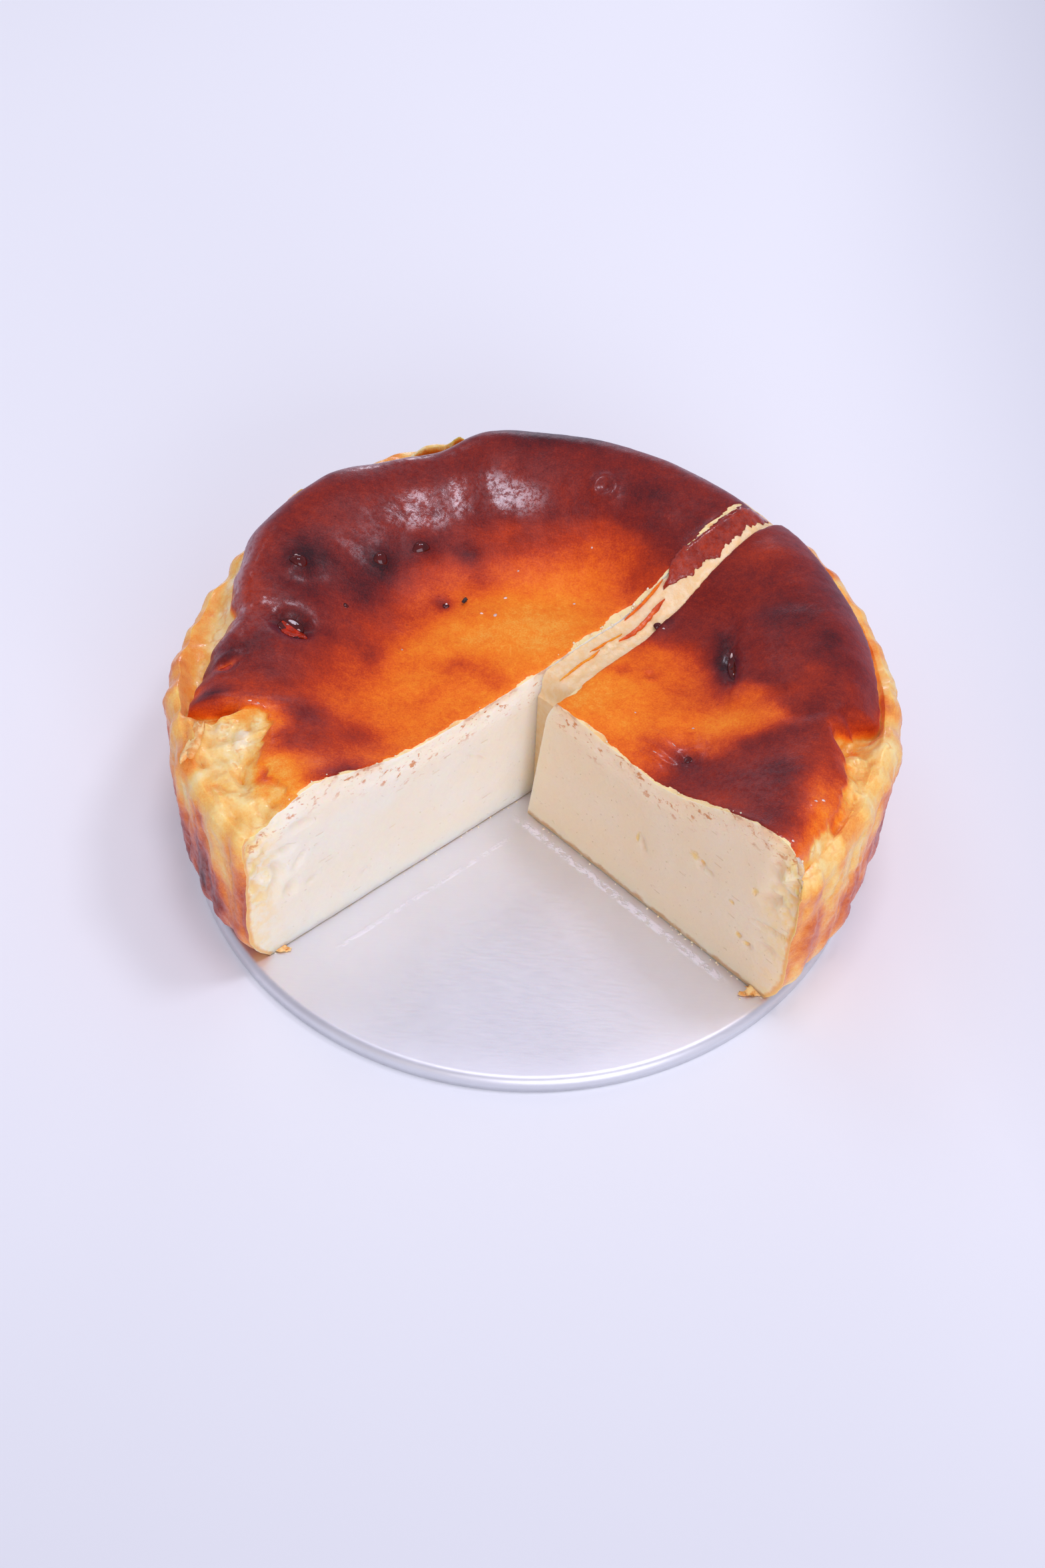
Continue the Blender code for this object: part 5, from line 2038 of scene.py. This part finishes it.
@dataclass
class Beads:
    """Beads on the skin of one wedge: syrup that has come through it, or tiny bubbles whose pale finish is a
    painted glint.
    """

    title: str
    wedge: CakeWedge
    drops: tuple[Drop, ...]
    rings: int = 9
    segments: int = 30

    def bead(self, drop: Drop) -> tuple[Array, list[list[int]]]:
        """Points and faces of one bead.

        Args:
            drop: The bead.

        Returns:
            Its points and its faces.
        """
        turn = np.linspace(0.0, math.tau, self.segments, endpoint=False)
        out = 1.0 + drop.wobble * (np.sin(2 * turn + 3 * drop.x) + 0.6 * np.sin(3 * turn + 5 * drop.y))
        share = np.sin(np.linspace(0.0, math.pi / 2, self.rings + 1)[1:])
        wide = share[:, None] * out[None, :] * np.cos(turn) * drop.wide
        deep = share[:, None] * out[None, :] * np.sin(turn) * drop.deep
        angle = math.radians(drop.turn)
        x = drop.x + wide * math.cos(angle) - deep * math.sin(angle)
        y = drop.y + wide * math.sin(angle) + deep * math.cos(angle)
        skin = self.wedge.skin_surface(x, y)
        upper = skin - 0.12 + drop.rise * np.sqrt(np.maximum(1.0 - share[:, None] ** 2, 0.0))
        under = skin - 0.12 - 0.5 * np.sqrt(np.maximum(1.0 - share[:, None] ** 2, 0.0))
        middle = float(self.wedge.skin_surface(np.array(drop.x), np.array(drop.y)))
        points = [[drop.x, drop.y, middle - 0.12 + drop.rise], [drop.x, drop.y, middle - 0.62]]
        points += np.stack([x, y, upper], -1).reshape(-1, 3).tolist()
        points += np.stack([x, y, under], -1)[:-1].reshape(-1, 3).tolist()
        count, faces = self.segments, []
        last = self.rings - 1
        below = 2 + self.rings * count

        def under_ring(ring: int, step: int) -> int:
            """Number of a point of the underside; the outermost ring is the rim."""
            return 2 + last * count + step if ring == last else below + ring * count + step

        for step in range(count):
            after = (step + 1) % count
            faces.append([0, 2 + step, 2 + after])
            faces.append([1, under_ring(0, after), under_ring(0, step)])
            for ring in range(last):
                here = 2 + ring * count
                faces.append([here + step, here + count + step, here + count + after, here + after])
                faces.append([under_ring(ring, step), under_ring(ring, after), under_ring(ring + 1, after),
                              under_ring(ring + 1, step)])
        return np.array(points), faces

    def build(self, finish: bpy.types.Material) -> bpy.types.Object:
        """Makes the beads as one piece, in their finish."""
        mesh = join_parts(self.title, [self.bead(drop) for drop in self.drops])
        return enrol(mesh, self.wedge.plan.node, finish)


@dataclass(frozen=True)
class Flake:
    """A thin flake of peeled skin: middle, half sizes, direction, lean, curl and thickness."""

    place: tuple[float, float, float]
    half: Pair
    turn: float
    lean: float
    curl: float
    thickness: float = 0.5


@dataclass
class Flakes:
    """Peeled bits of browned wall skin and a burnt speck."""

    title: str
    node: str
    flakes: tuple[Flake, ...]
    steps: int = 10

    def slab(self, flake: Flake) -> tuple[Array, list[list[int]]]:
        """Points and faces of one flake.

        Args:
            flake: The flake.

        Returns:
            Its points and its faces.
        """
        grid = np.linspace(-1.0, 1.0, self.steps + 1)
        u, v = np.meshgrid(grid, grid, indexing="ij")
        seed = flake.place[0]
        ragged = 1.0 + 0.35 * grain(u, v, seed, 0.55, 1.0) + 0.30 * grain(u, v, seed, 0.23, 1.0)
        x = u * np.sqrt(1.0 - 0.35 * v * v) * flake.half[0] * ragged
        y = v * np.sqrt(1.0 - 0.35 * u * u) * flake.half[1] * ragged
        z = flake.curl * u * u + 0.25 * flake.thickness * grain(u, v, seed, 0.4, 3.0)
        leant = Matrix.Rotation(math.radians(flake.lean), 3, "X")
        turned = np.array(Matrix.Rotation(math.radians(flake.turn), 3, "Z") @ leant)
        around_edge = 1.0 - 0.75 * np.maximum(np.abs(u), np.abs(v)) ** 4
        half = 0.5 * flake.thickness * around_edge
        sides = [np.stack([x, y, height], -1) @ turned.T + flake.place for height in (z + half, z - half)]
        return closed_slab(*sides)

    def build(self, finish: bpy.types.Material) -> bpy.types.Object:
        """Makes the flakes as one piece, in their finish."""
        mesh = join_parts(self.title, [self.slab(flake) for flake in self.flakes])
        return enrol(mesh, self.node, finish)


@dataclass(frozen=True)
class Scatter:
    """How crumbs are strewn: how many, how large, how flat, and the seed."""

    title: str
    node: str
    per_mm2: float
    smallest: float
    largest: float
    flatness: float = 0.8
    sunk: float = 0.0
    seed: int = 1


class CrumbTree:
    """Node tree that strews one irregular crumb over a bed of faces."""

    INPUTS = ("Crumbs per square metre", "Smallest crumb", "Largest crumb", "Flatness", "Depth sunk")

    def __init__(self, scatter: Scatter, finish: bpy.types.Material) -> None:
        """Builds the tree.

        Args:
            scatter: Sizes and seed.
            finish: Material of the crumbs.
        """
        self.scatter = scatter
        self.tree = bpy.data.node_groups.new(scatter.title + "_tree", "GeometryNodeTree")
        self.tree.interface.new_socket("Geometry", in_out="INPUT", socket_type="NodeSocketGeometry")
        self.sockets = {}
        for name in self.INPUTS:
            socket = self.tree.interface.new_socket(name, in_out="INPUT", socket_type="NodeSocketFloat")
            self.sockets[name] = socket.identifier
        seed = self.tree.interface.new_socket("Seed", in_out="INPUT", socket_type="NodeSocketInt")
        self.sockets["Seed"] = seed.identifier
        self.tree.interface.new_socket("Geometry", in_out="OUTPUT", socket_type="NodeSocketGeometry")
        self.wire(finish)

    def add(self, kind: str, inputs: dict | None = None, **settings: object) -> bpy.types.Node:
        """Adds a node of a kind, with its inputs by name or number, and its settings."""
        return put_node(self.tree, kind, inputs, settings)

    def wire(self, finish: bpy.types.Material) -> None:
        """Connects the nodes, from the bed to the crumbs.

        Args:
            finish: Material of the crumbs.
        """
        given = self.add("NodeGroupInput").outputs
        points = self.add("GeometryNodeDistributePointsOnFaces", {"Mesh": given["Geometry"]})
        self.tree.links.new(given["Crumbs per square metre"], points.inputs["Density"])
        self.tree.links.new(given["Seed"], points.inputs["Seed"])
        sizes = self.add("FunctionNodeRandomValue", {2: given["Smallest crumb"], 3: given["Largest crumb"],
                                                     "Seed": given["Seed"]}, data_type="FLOAT")
        flat = self.add("ShaderNodeCombineXYZ", {"X": 1.0, "Y": 1.0, "Z": given["Flatness"]})
        size = self.add("ShaderNodeVectorMath", {0: flat.outputs[0]}, operation="SCALE")
        self.tree.links.new(sizes.outputs[1], size.inputs["Scale"])
        cube = self.add("GeometryNodeMeshCube", {"Size": (1.0, 1.0, 1.0), "Vertices X": 3, "Vertices Y": 3,
                                                 "Vertices Z": 3})
        here = self.add("GeometryNodeInputPosition").outputs[0]
        rounded = self.add("ShaderNodeVectorMath", {0: here}, operation="NORMALIZE")
        middle = self.add("ShaderNodeMix", {0: 0.62, 4: here, 5: rounded.outputs[0]}, data_type="VECTOR")
        half = self.add("ShaderNodeVectorMath", {0: middle.outputs[1], "Scale": 0.5}, operation="SCALE")
        crumb = self.add("GeometryNodeSetPosition", {"Geometry": cube.outputs["Mesh"],
                                                     "Position": half.outputs[0]})
        strewn = self.add("GeometryNodeInstanceOnPoints", {"Points": points.outputs["Points"],
                                                           "Instance": crumb.outputs[0],
                                                           "Rotation": points.outputs["Rotation"],
                                                           "Scale": size.outputs[0]})
        spin = self.add("FunctionNodeRandomValue", {0: (-0.5, -0.5, 0.0), 1: (0.5, 0.5, 6.28),
                                                    "Seed": given["Seed"]}, data_type="FLOAT_VECTOR")
        turned = self.add("GeometryNodeRotateInstances", {"Instances": strewn.outputs[0],
                                                          "Rotation": spin.outputs[0]})
        down = self.add("ShaderNodeMath", {0: given["Depth sunk"], 1: -1.0}, operation="MULTIPLY")
        drop = self.add("ShaderNodeCombineXYZ", {"Z": down.outputs[0]})
        lowered = self.add("GeometryNodeTranslateInstances", {"Instances": turned.outputs[0],
                                                              "Translation": drop.outputs[0]})
        real = self.add("GeometryNodeRealizeInstances", {"Geometry": lowered.outputs[0]})
        place = self.add("GeometryNodeInputPosition").outputs[0]
        finer = self.add("ShaderNodeMath", {0: 1.1, 1: given["Largest crumb"]}, operation="DIVIDE")
        rough = self.add("ShaderNodeTexNoise", {"Vector": place, "Scale": finer.outputs[0], "Detail": 1.0})
        centred = self.add("ShaderNodeVectorMath", {0: rough.outputs["Color"], 1: (0.5, 0.5, 0.5)},
                           operation="SUBTRACT")
        nudge = self.add("ShaderNodeVectorMath", {0: centred.outputs[0]}, operation="SCALE")
        size_of_nudge = self.add("ShaderNodeMath", {0: given["Largest crumb"], 1: 0.55}, operation="MULTIPLY")
        self.tree.links.new(size_of_nudge.outputs[0], nudge.inputs["Scale"])
        uneven = self.add("GeometryNodeSetPosition", {"Geometry": real.outputs[0],
                                                      "Offset": nudge.outputs[0]})
        softened = self.add("GeometryNodeSetShadeSmooth", {0: uneven.outputs[0]})
        finished = self.add("GeometryNodeSetMaterial", {"Geometry": softened.outputs[0], "Material": finish})
        self.add("NodeGroupOutput", {0: finished.outputs[0]})

    def strew(self, bed: bpy.types.Mesh, finish: bpy.types.Material) -> bpy.types.Object:
        """Strews the crumbs and keeps them as a plain mesh.

        Args:
            bed: Faces that the crumbs lie on.
            finish: Their material.

        Returns:
            The piece.
        """
        scatter = self.scatter
        obj = bpy.data.objects.new(scatter.title + "_bed", bed)
        bpy.context.scene.collection.objects.link(obj)
        modifier = obj.modifiers.new("strew", "NODES")
        modifier.node_group = self.tree
        values = (scatter.per_mm2 * 1e6, scatter.smallest * MM, scatter.largest * MM, scatter.flatness,
                  scatter.sunk * MM)
        for name, value in zip(self.INPUTS, values):
            modifier[self.sockets[name]] = value
        modifier[self.sockets["Seed"]] = scatter.seed
        seen = obj.evaluated_get(bpy.context.evaluated_depsgraph_get())
        mesh = bpy.data.meshes.new_from_object(seen)
        obj.modifiers.remove(modifier)
        bpy.data.objects.remove(obj)
        mesh.name = scatter.title
        return enrol(mesh, scatter.node, finish)


@dataclass
class Crumbs:
    """Crumbs and flecks of skin along the cuts and at their foot, and golden crumbs on the tin base."""

    half: CakeWedge
    quarter: CakeWedge
    tin_top: float = 4.0
    row_points: int = 60

    def bed(self, row: Callable[..., Array], where: tuple, near: float, far: float) -> bpy.types.Mesh:
        """A bed of faces between two rows of points.

        Args:
            row: Method that gives a row.
            where: What it takes before the row's offset.
            near: Offset of the first row.
            far: Offset of the second row.

        Returns:
            The bed.
        """
        points, count = np.concatenate([row(*where, near), row(*where, far)]), self.row_points
        faces = [[step, step + 1, count + step + 1, count + step] for step in range(count - 1)]
        mesh = bpy.data.meshes.new("bed")
        mesh.from_pydata((points * MM).tolist(), [], faces)
        return mesh

    def row(self, wedge: CakeWedge, face: int, level: float, ends: Pair,
            inward: float) -> tuple[Array, Array]:
        """Plan points beside the top or the foot of a cut face.

        Args:
            wedge: Piece of cake.
            face: Which cut face.
            level: 0 at its top and 1 at its foot.
            ends: Distances from the tip at which the row begins and stops.
            inward: Millimetres from the face into the cake.

        Returns:
            Plan x and y.
        """
        tip, angle = wedge.tip_and_angle(np.array(float(face)), np.array(level))
        along = np.linspace(ends[0], ends[1], self.row_points)
        side = 1.0 if face == 0 else -1.0
        x = tip[0] + along * math.cos(angle) - side * inward * math.sin(angle)
        return x, tip[1] + along * math.sin(angle) + side * inward * math.cos(angle)

    def beside_cut(self, wedge: CakeWedge, face: int, ends: Pair, inward: float) -> Array:
        """Points on the top beside a cut edge."""
        x, y = self.row(wedge, face, 0.0, ends, inward)
        return np.stack([x, y, wedge.skin_surface(x, y)], -1)

    def on_face(self, wedge: CakeWedge, ends: Pair, depth: float) -> Array:
        """Points on the open cut face, at a depth below the top."""
        return self.beside_cut(wedge, wedge.gouged_face(), ends, 0.0) - (0.0, 0.0, depth)

    def foot(self, wedge: CakeWedge, ends: Pair, outward: float) -> Array:
        """Points on the tin base along the foot of the open cut face."""
        x, y = self.row(wedge, wedge.gouged_face(), 1.0, ends, -outward)
        return np.stack([x, y, np.full(x.shape, self.tin_top)], -1)

    def patch(self, places: tuple[tuple[float, float, float, float], ...]) -> bpy.types.Mesh:
        """A bed of small squares on the tin base.

        Args:
            places: Plan x, y, half width and height above the table of each square.

        Returns:
            The bed.
        """
        points, faces = [], []
        for x, y, half, z in places:
            start = len(points)
            corners = ((-half, -half), (half, -half), (half, half), (-half, half))
            points += [(x + right, y + back, z) for right, back in corners]
            faces.append([start, start + 1, start + 2, start + 3])
        mesh = bpy.data.meshes.new("tin_bed")
        mesh.from_pydata((np.array(points) * MM).tolist(), [], faces)
        return mesh

    def build(self, cream: bpy.types.Material, golden: bpy.types.Material, brown: bpy.types.Material) -> None:
        """Strews every kind of crumb.

        Args:
            cream: Finish of crumbs of the inside.
            golden: Finish of curds and wall crumbs.
            brown: Finish of flecks of skin.
        """
        half, quarter, bed = self.half, self.quarter, self.bed
        top, face, foot = self.beside_cut, self.on_face, self.foot
        beds = (
            (Scatter("cream_crumbs_half", "half_cake", 0.30, 0.15, 0.55, 0.7, 0.08, 11), cream,
             bed(top, (half, 1, (1, 66)), 0.8, 0.0)),
            (Scatter("cream_crumbs_quarter", "quarter_slice", 0.30, 0.15, 0.55, 0.7, 0.08, 12), cream,
             bed(top, (quarter, 0, (1, 68)), 0.0, 0.8)),
            (Scatter("cream_crumbs_in_the_cut", "half_cake", 0.35, 0.2, 0.8, 0.7, 0.12, 13), cream,
             bed(top, (half, 0, (9, 42)), 0.0, 1.3)),
            (Scatter("skin_flecks_half", "half_cake", 0.13, 0.3, 1.1, 0.30, 0.05, 15), brown,
             bed(face, (half, (6, 60)), 1.2, 4.6)),
            (Scatter("skin_flecks_quarter", "quarter_slice", 0.14, 0.3, 1.1, 0.30, 0.05, 16), brown,
             bed(face, (quarter, (5, 62)), 4.4, 1.0)),
            (Scatter("foot_crumbs_half", "half_cake", 0.35, 0.2, 0.6, 0.5, 0.0, 17), cream,
             bed(foot, (half, (3, 70)), -0.4, 0.6)),
            (Scatter("foot_crumbs_quarter", "quarter_slice", 0.7, 0.2, 0.7, 0.5, 0.0, 18), cream,
             bed(foot, (quarter, (3, 70)), 0.6, -0.4)),
            (Scatter("crumbs_on_the_tin", "quarter_slice", 0.55, 0.3, 1.1, 0.6, 0.0, 21), golden,
             self.patch(((51.5, -47.5, 1.4, 4.0), (54.2, -43.8, 1.2, 4.0), (57.0, -40.5, 1.0, 4.0),
                         (49.0, -49.5, 0.9, 4.0), (46.5, -52.0, 0.7, 4.0), (-54.0, -44.5, 0.5, 4.0)))),
        )
        for scatter, finish, faces in beds:
            CrumbTree(scatter, finish).strew(faces, finish)


# ------------------------------------------------------------------------------
# Studio
# ------------------------------------------------------------------------------


@dataclass(frozen=True)
class Softbox:
    """A square area light that points at the cake."""

    title: str
    place: tuple[float, float, float]
    size: float
    power: float
    tint: Colour = (255, 255, 255)

    def build(self) -> bpy.types.Object:
        """Makes the light.

        Returns:
            The light.
        """
        data = bpy.data.lights.new(self.title, "AREA")
        data.shape, data.size, data.energy = "SQUARE", self.size, self.power
        data.color = linear(self.tint)[:3]
        obj = bpy.data.objects.new(self.title, data)
        obj.location = self.place
        obj.rotation_mode = "QUATERNION"
        obj.rotation_quaternion = (Vector((0, 0, 0.03)) - Vector(self.place)).to_track_quat("-Z", "Y")
        bpy.context.scene.collection.objects.link(obj)
        return obj


@dataclass
class Studio:
    """Floor, lights, surroundings and camera."""

    eye: tuple[float, float, float] = (0.0, -308.1, 386.325)
    ahead: tuple[float, float, float] = (-0.0019843, 0.63162034, -0.77527531)
    right: tuple[float, float, float] = (0.99900038, 0.03587417, 0.02666993)
    lens: float = 50.0
    floor_half: float = 3.0
    air: Colour = (238, 235, 254)
    air_strength: float = 0.58
    lights: tuple[Softbox, ...] = (
        Softbox("overhead", (0.05, -0.02, 1.05), 0.20, 2.2, (238, 235, 254)),
        Softbox("overhead_side", (0.43, 0.10, 1.05), 0.20, 2.2, (238, 235, 254)),
        Softbox("front_right", (0.75, -2.15, 0.85), 1.4, 25.0, (238, 236, 250)),
        Softbox("front_left", (-1.10, -1.95, 0.75), 1.3, 2.0, (255, 232, 200)),
        Softbox("back", (0.0, 1.80, 0.25), 0.4, 4.0, (238, 236, 254)),
        Softbox("back_left", (-0.75, 0.95, 1.30), 0.5, 1.6, (236, 234, 255)),
    )

    def build(self) -> None:
        """Sets up everything about the cake."""
        self.lay_floor()
        for light in self.lights:
            light.build()
        self.fill_air()
        self.place_camera()
        bpy.context.scene.view_settings.view_transform = "Standard"

    def lay_floor(self) -> None:
        """Makes the floor, a flat board just under the tin base."""
        half = self.floor_half
        mesh = bpy.data.meshes.new("floor")
        corners = [(-half, -half, 0.0), (half, -half, 0.0), (half, half, 0.0), (-half, half, 0.0)]
        mesh.from_pydata(corners, [], [(0, 1, 2, 3)])
        mesh.materials.append(PaleFloor("pale_board").make())
        floor = bpy.data.objects.new("floor", mesh)
        bpy.context.scene.collection.objects.link(floor)

    def fill_air(self) -> None:
        """Gives the surroundings an even, pale light."""
        world = bpy.data.worlds.new("air")
        world.use_nodes = True
        background = world.node_tree.nodes["Background"]
        background.inputs["Color"].default_value = linear(self.air)
        background.inputs["Strength"].default_value = self.air_strength
        bpy.context.scene.world = world

    def place_camera(self) -> None:
        """Makes the camera, above and in front of the open quarter."""
        data = bpy.data.cameras.new("camera")
        data.lens, data.sensor_width, data.clip_start = self.lens, 36.0, 0.01
        camera = bpy.data.objects.new("camera", data)
        ahead, right = Vector(self.ahead).normalized(), Vector(self.right).normalized()
        up = right.cross(ahead)
        turned = Matrix((right, up, -ahead)).transposed().to_4x4()
        camera.matrix_world = Matrix.Translation(Vector(self.eye) * MM) @ turned
        bpy.context.scene.collection.objects.link(camera)
        bpy.context.scene.camera = camera


# ------------------------------------------------------------------------------
# What lies on this cake, placed one by one
# ------------------------------------------------------------------------------

QUARTER_HOLES = ((46.6, 31.6, 1.5, 1.3), (48.4, 30.6, 0.9, 0.7), (60.5, 18.0, 0.9, 0.7),
                 (62.6, 17.2, 0.8, 0.8), (62.5, 35.0, 0.7, 1.6), (57.5, 26.5, 0.7, 0.6),
                 (31.2, 23.5, 0.5, 1.6))
SKIN_STRIPS = (
    Strip(37.0, 69.0, -0.14, 0.64, 0.12, 0.7, 0.73, 1.0, 9.0),
    Strip(5.0, 17.0, 0.42, 0.48, -0.62, 0.05, 0.33, 0.0, 5.0),
    Strip(15.0, 24.0, 0.36, 0.41, -0.62, 0.05, 0.36),
    Strip(22.0, 36.0, 0.44, 0.58, -0.50, 0.15, 0.50, 0.3, 4.0),
    Strip(27.0, 38.0, 0.02, 0.10, -0.35, 0.1, 0.46, 0.0, 4.0),
)
HALF_DROPS = (
    Drop(-51.0, 22.5, 2.1, 1.3, 10, 0.9), Drop(-34.0, 28.6, 1.7, 1.1, 20, 0.7),
    Drop(-25.5, 33.2, 2.2, 1.0, 15, 0.7), Drop(-19.4, 21.6, 0.9, 0.7, 0, 0.4),
    Drop(-40.5, 15.5, 0.7, 0.5, 0, 0.3), Drop(-51.0, 7.0, 3.6, 2.1, -10, 1.1, 0.2),
)
HALF_JELLY = (
    Drop(-51.0, 6.6, 3.3, 1.7, -12, 1.25, 0.22), Drop(-48.9, 5.4, 1.5, 0.9, -30, 1.1, 0.2),
    Drop(-63.6, -5.2, 1.5, 0.7, 20, 0.4),
)
# Tiny bubbles on the half's skin; their pale finish is a painted glint of the lights.
HALF_GLINT_BEADS = (
    Drop(-6.5, 24.6, 0.46, 0.28, 10, 0.34), Drop(-11.5, 19.4, 0.40, 0.24, 0, 0.30),
    Drop(-8.5, 18.9, 0.50, 0.36, 30, 0.34), Drop(8.6, 23.6, 0.30, 0.24, 0, 0.28),
    Drop(-19.3, 22.0, 0.36, 0.26, 0, 0.62), Drop(-4.0, 31.5, 0.25, 0.2, 0, 0.26),
    Drop(12.0, 36.0, 0.25, 0.2, 0, 0.26), Drop(-28.0, 8.0, 0.25, 0.2, 0, 0.26),
    Drop(-52.2, 7.9, 0.42, 0.13, 10, 1.35), Drop(-49.8, 7.3, 0.5, 0.12, -20, 1.35),
    Drop(-51.6, 23.2, 0.5, 0.16, 10, 1.0), Drop(-57.4, -15.4, 0.5, 0.16, 10, 0.22),
    Drop(-55.6, -15.8, 0.3, 0.14, 0, 0.2),
)
QUARTER_DROPS = (
    Drop(42.3, 3.6, 0.8, 3.9, 3, 0.9, 0.05), Drop(33.0, -19.4, 1.1, 0.8, 20, 0.4),
    Drop(26.6, 16.6, 0.9, 0.6, 20, 0.4),
)
# Tiny bubbles on the quarter's skin; their pale finish is a painted glint of the lights.
QUARTER_GLINT_BEADS = (
    Drop(57.0, -38.0, 0.34, 0.22, 0, 0.26), Drop(58.6, -37.2, 0.42, 0.26, 0, 0.28),
    Drop(52.0, -48.4, 0.34, 0.26, 0, 0.26), Drop(28.0, 15.8, 0.3, 0.2, 0, 0.24),
    Drop(30.0, -16.5, 0.5, 0.12, -38, 0.2), Drop(26.0, -18.6, 0.5, 0.1, -30, 0.2),
    Drop(42.2, 6.8, 0.26, 0.5, 3, 1.1), Drop(42.5, 1.6, 0.14, 0.5, 3, 0.9),
    Drop(34.0, -12.0, 0.3, 0.22, 0, 0.24), Drop(22.0, -8.0, 0.22, 0.2, 0, 0.22),
)
WALL_FLAKES = (
    Flake((-68.0, -25.0, 47.2), (5.2, 1.7), 80, -28, 0.6, 1.5),
    Flake((-52.4, -44.7, 4.5), (3.0, 1.2), 4, 5, 0.15, 0.4),
    Flake((-49.6, -45.0, 4.2), (1.2, 0.5), 0, 2, 0.1, 0.3),
    Flake((50.6, -50.0, 4.6), (3.0, 1.4), 20, 16, 0.4, 0.35),
    Flake((53.6, -46.6, 4.6), (2.6, 1.0), 50, 14, 0.4, 0.35),
    Flake((47.6, -51.0, 4.3), (1.4, 0.6), 10, 6, 0.2, 0.3),
)
BURNT_FLAKES = (Flake((-15.4, 22.8, 42.6), (0.9, 0.42), 60, 20, 0.2, 0.3),)


# ------------------------------------------------------------------------------
# The whole scene
# ------------------------------------------------------------------------------


def main() -> None:
    """Builds the cake, its tin base and the studio, in order."""
    logging.basicConfig(level=logging.INFO, format="%(message)s")
    skin = BrownedSkin("browned_skin").make()
    # Painted light and shade: the two cut faces are the same curd, but the half's face, in the key light,
    # gets a paler cream and the quarter's face a darker, warmer one.
    curd_half = CutCurd("cut_curd_half", cream=(245, 237, 218), warm=(246, 231, 202), slant=55.0).make()
    curd_quarter = CutCurd("cut_curd_quarter", cream=(243, 222, 190), warm=(244, 216, 174), slant=-58.0,
                           foot_rind=0.75, holes=QUARTER_HOLES).make()
    half, quarter = CakeWedge(HALF_PLAN), CakeWedge(SLICE_PLAN)
    half.build(skin, curd_half)
    quarter.build(skin, curd_quarter)
    TinBase().build(SatinTin("satin_tin").make())
    cream = CrumbFinish("cream_crumb", (247, 234, 206), (245, 222, 178)).make()
    golden = CrumbFinish("golden_curd", (249, 232, 178), (246, 206, 128), 0.34).make()
    brown = CrumbFinish("skin_fleck", (226, 142, 70), (198, 104, 44), 0.5).make()
    rind = CrumbFinish("peeled_rind", (250, 214, 146), (238, 158, 70), 0.34).make()
    # Partly painted shade: the filling's cream is darker and warmer than the cut faces', for the shade and
    # warm bounce light deep in the narrow gap.
    filling_finish = CrumbFinish("smeared_cream", (244, 206, 146), (246, 218, 172), 0.34).make()
    filling = CutFilling(half, quarter)
    filling.build(filling_finish)
    SkinStrips(filling, SKIN_STRIPS).build(skin)
    syrup = GlossyBead("dark_syrup", (88, 10, 6)).make()
    amber = GlossyBead("amber_jelly", (204, 46, 6)).make()
    Beads("syrup_drops_half", half, HALF_DROPS).build(syrup)
    Beads("amber_jelly_half", half, HALF_JELLY).build(amber)
    Beads("syrup_drops_quarter", quarter, QUARTER_DROPS).build(syrup)
    # Painted glint: pale finish of the tiny bubble beads.
    bubble = GlossyBead("pale_bubble", (246, 222, 214)).make()
    Beads("pale_bubbles_half", half, HALF_GLINT_BEADS).build(bubble)
    Beads("pale_bubbles_quarter", quarter, QUARTER_GLINT_BEADS).build(bubble)
    Flakes("peeled_wall_skin", "half_cake", WALL_FLAKES).build(rind)
    burnt = CrumbFinish("burnt_speck", (28, 16, 14), (50, 24, 18), 0.5).make()
    Flakes("burnt_speck", "half_cake", BURNT_FLAKES).build(burnt)
    Crumbs(half, quarter).build(cream, golden, brown)
    Studio().build()


if __name__ == "__main__":
    main()
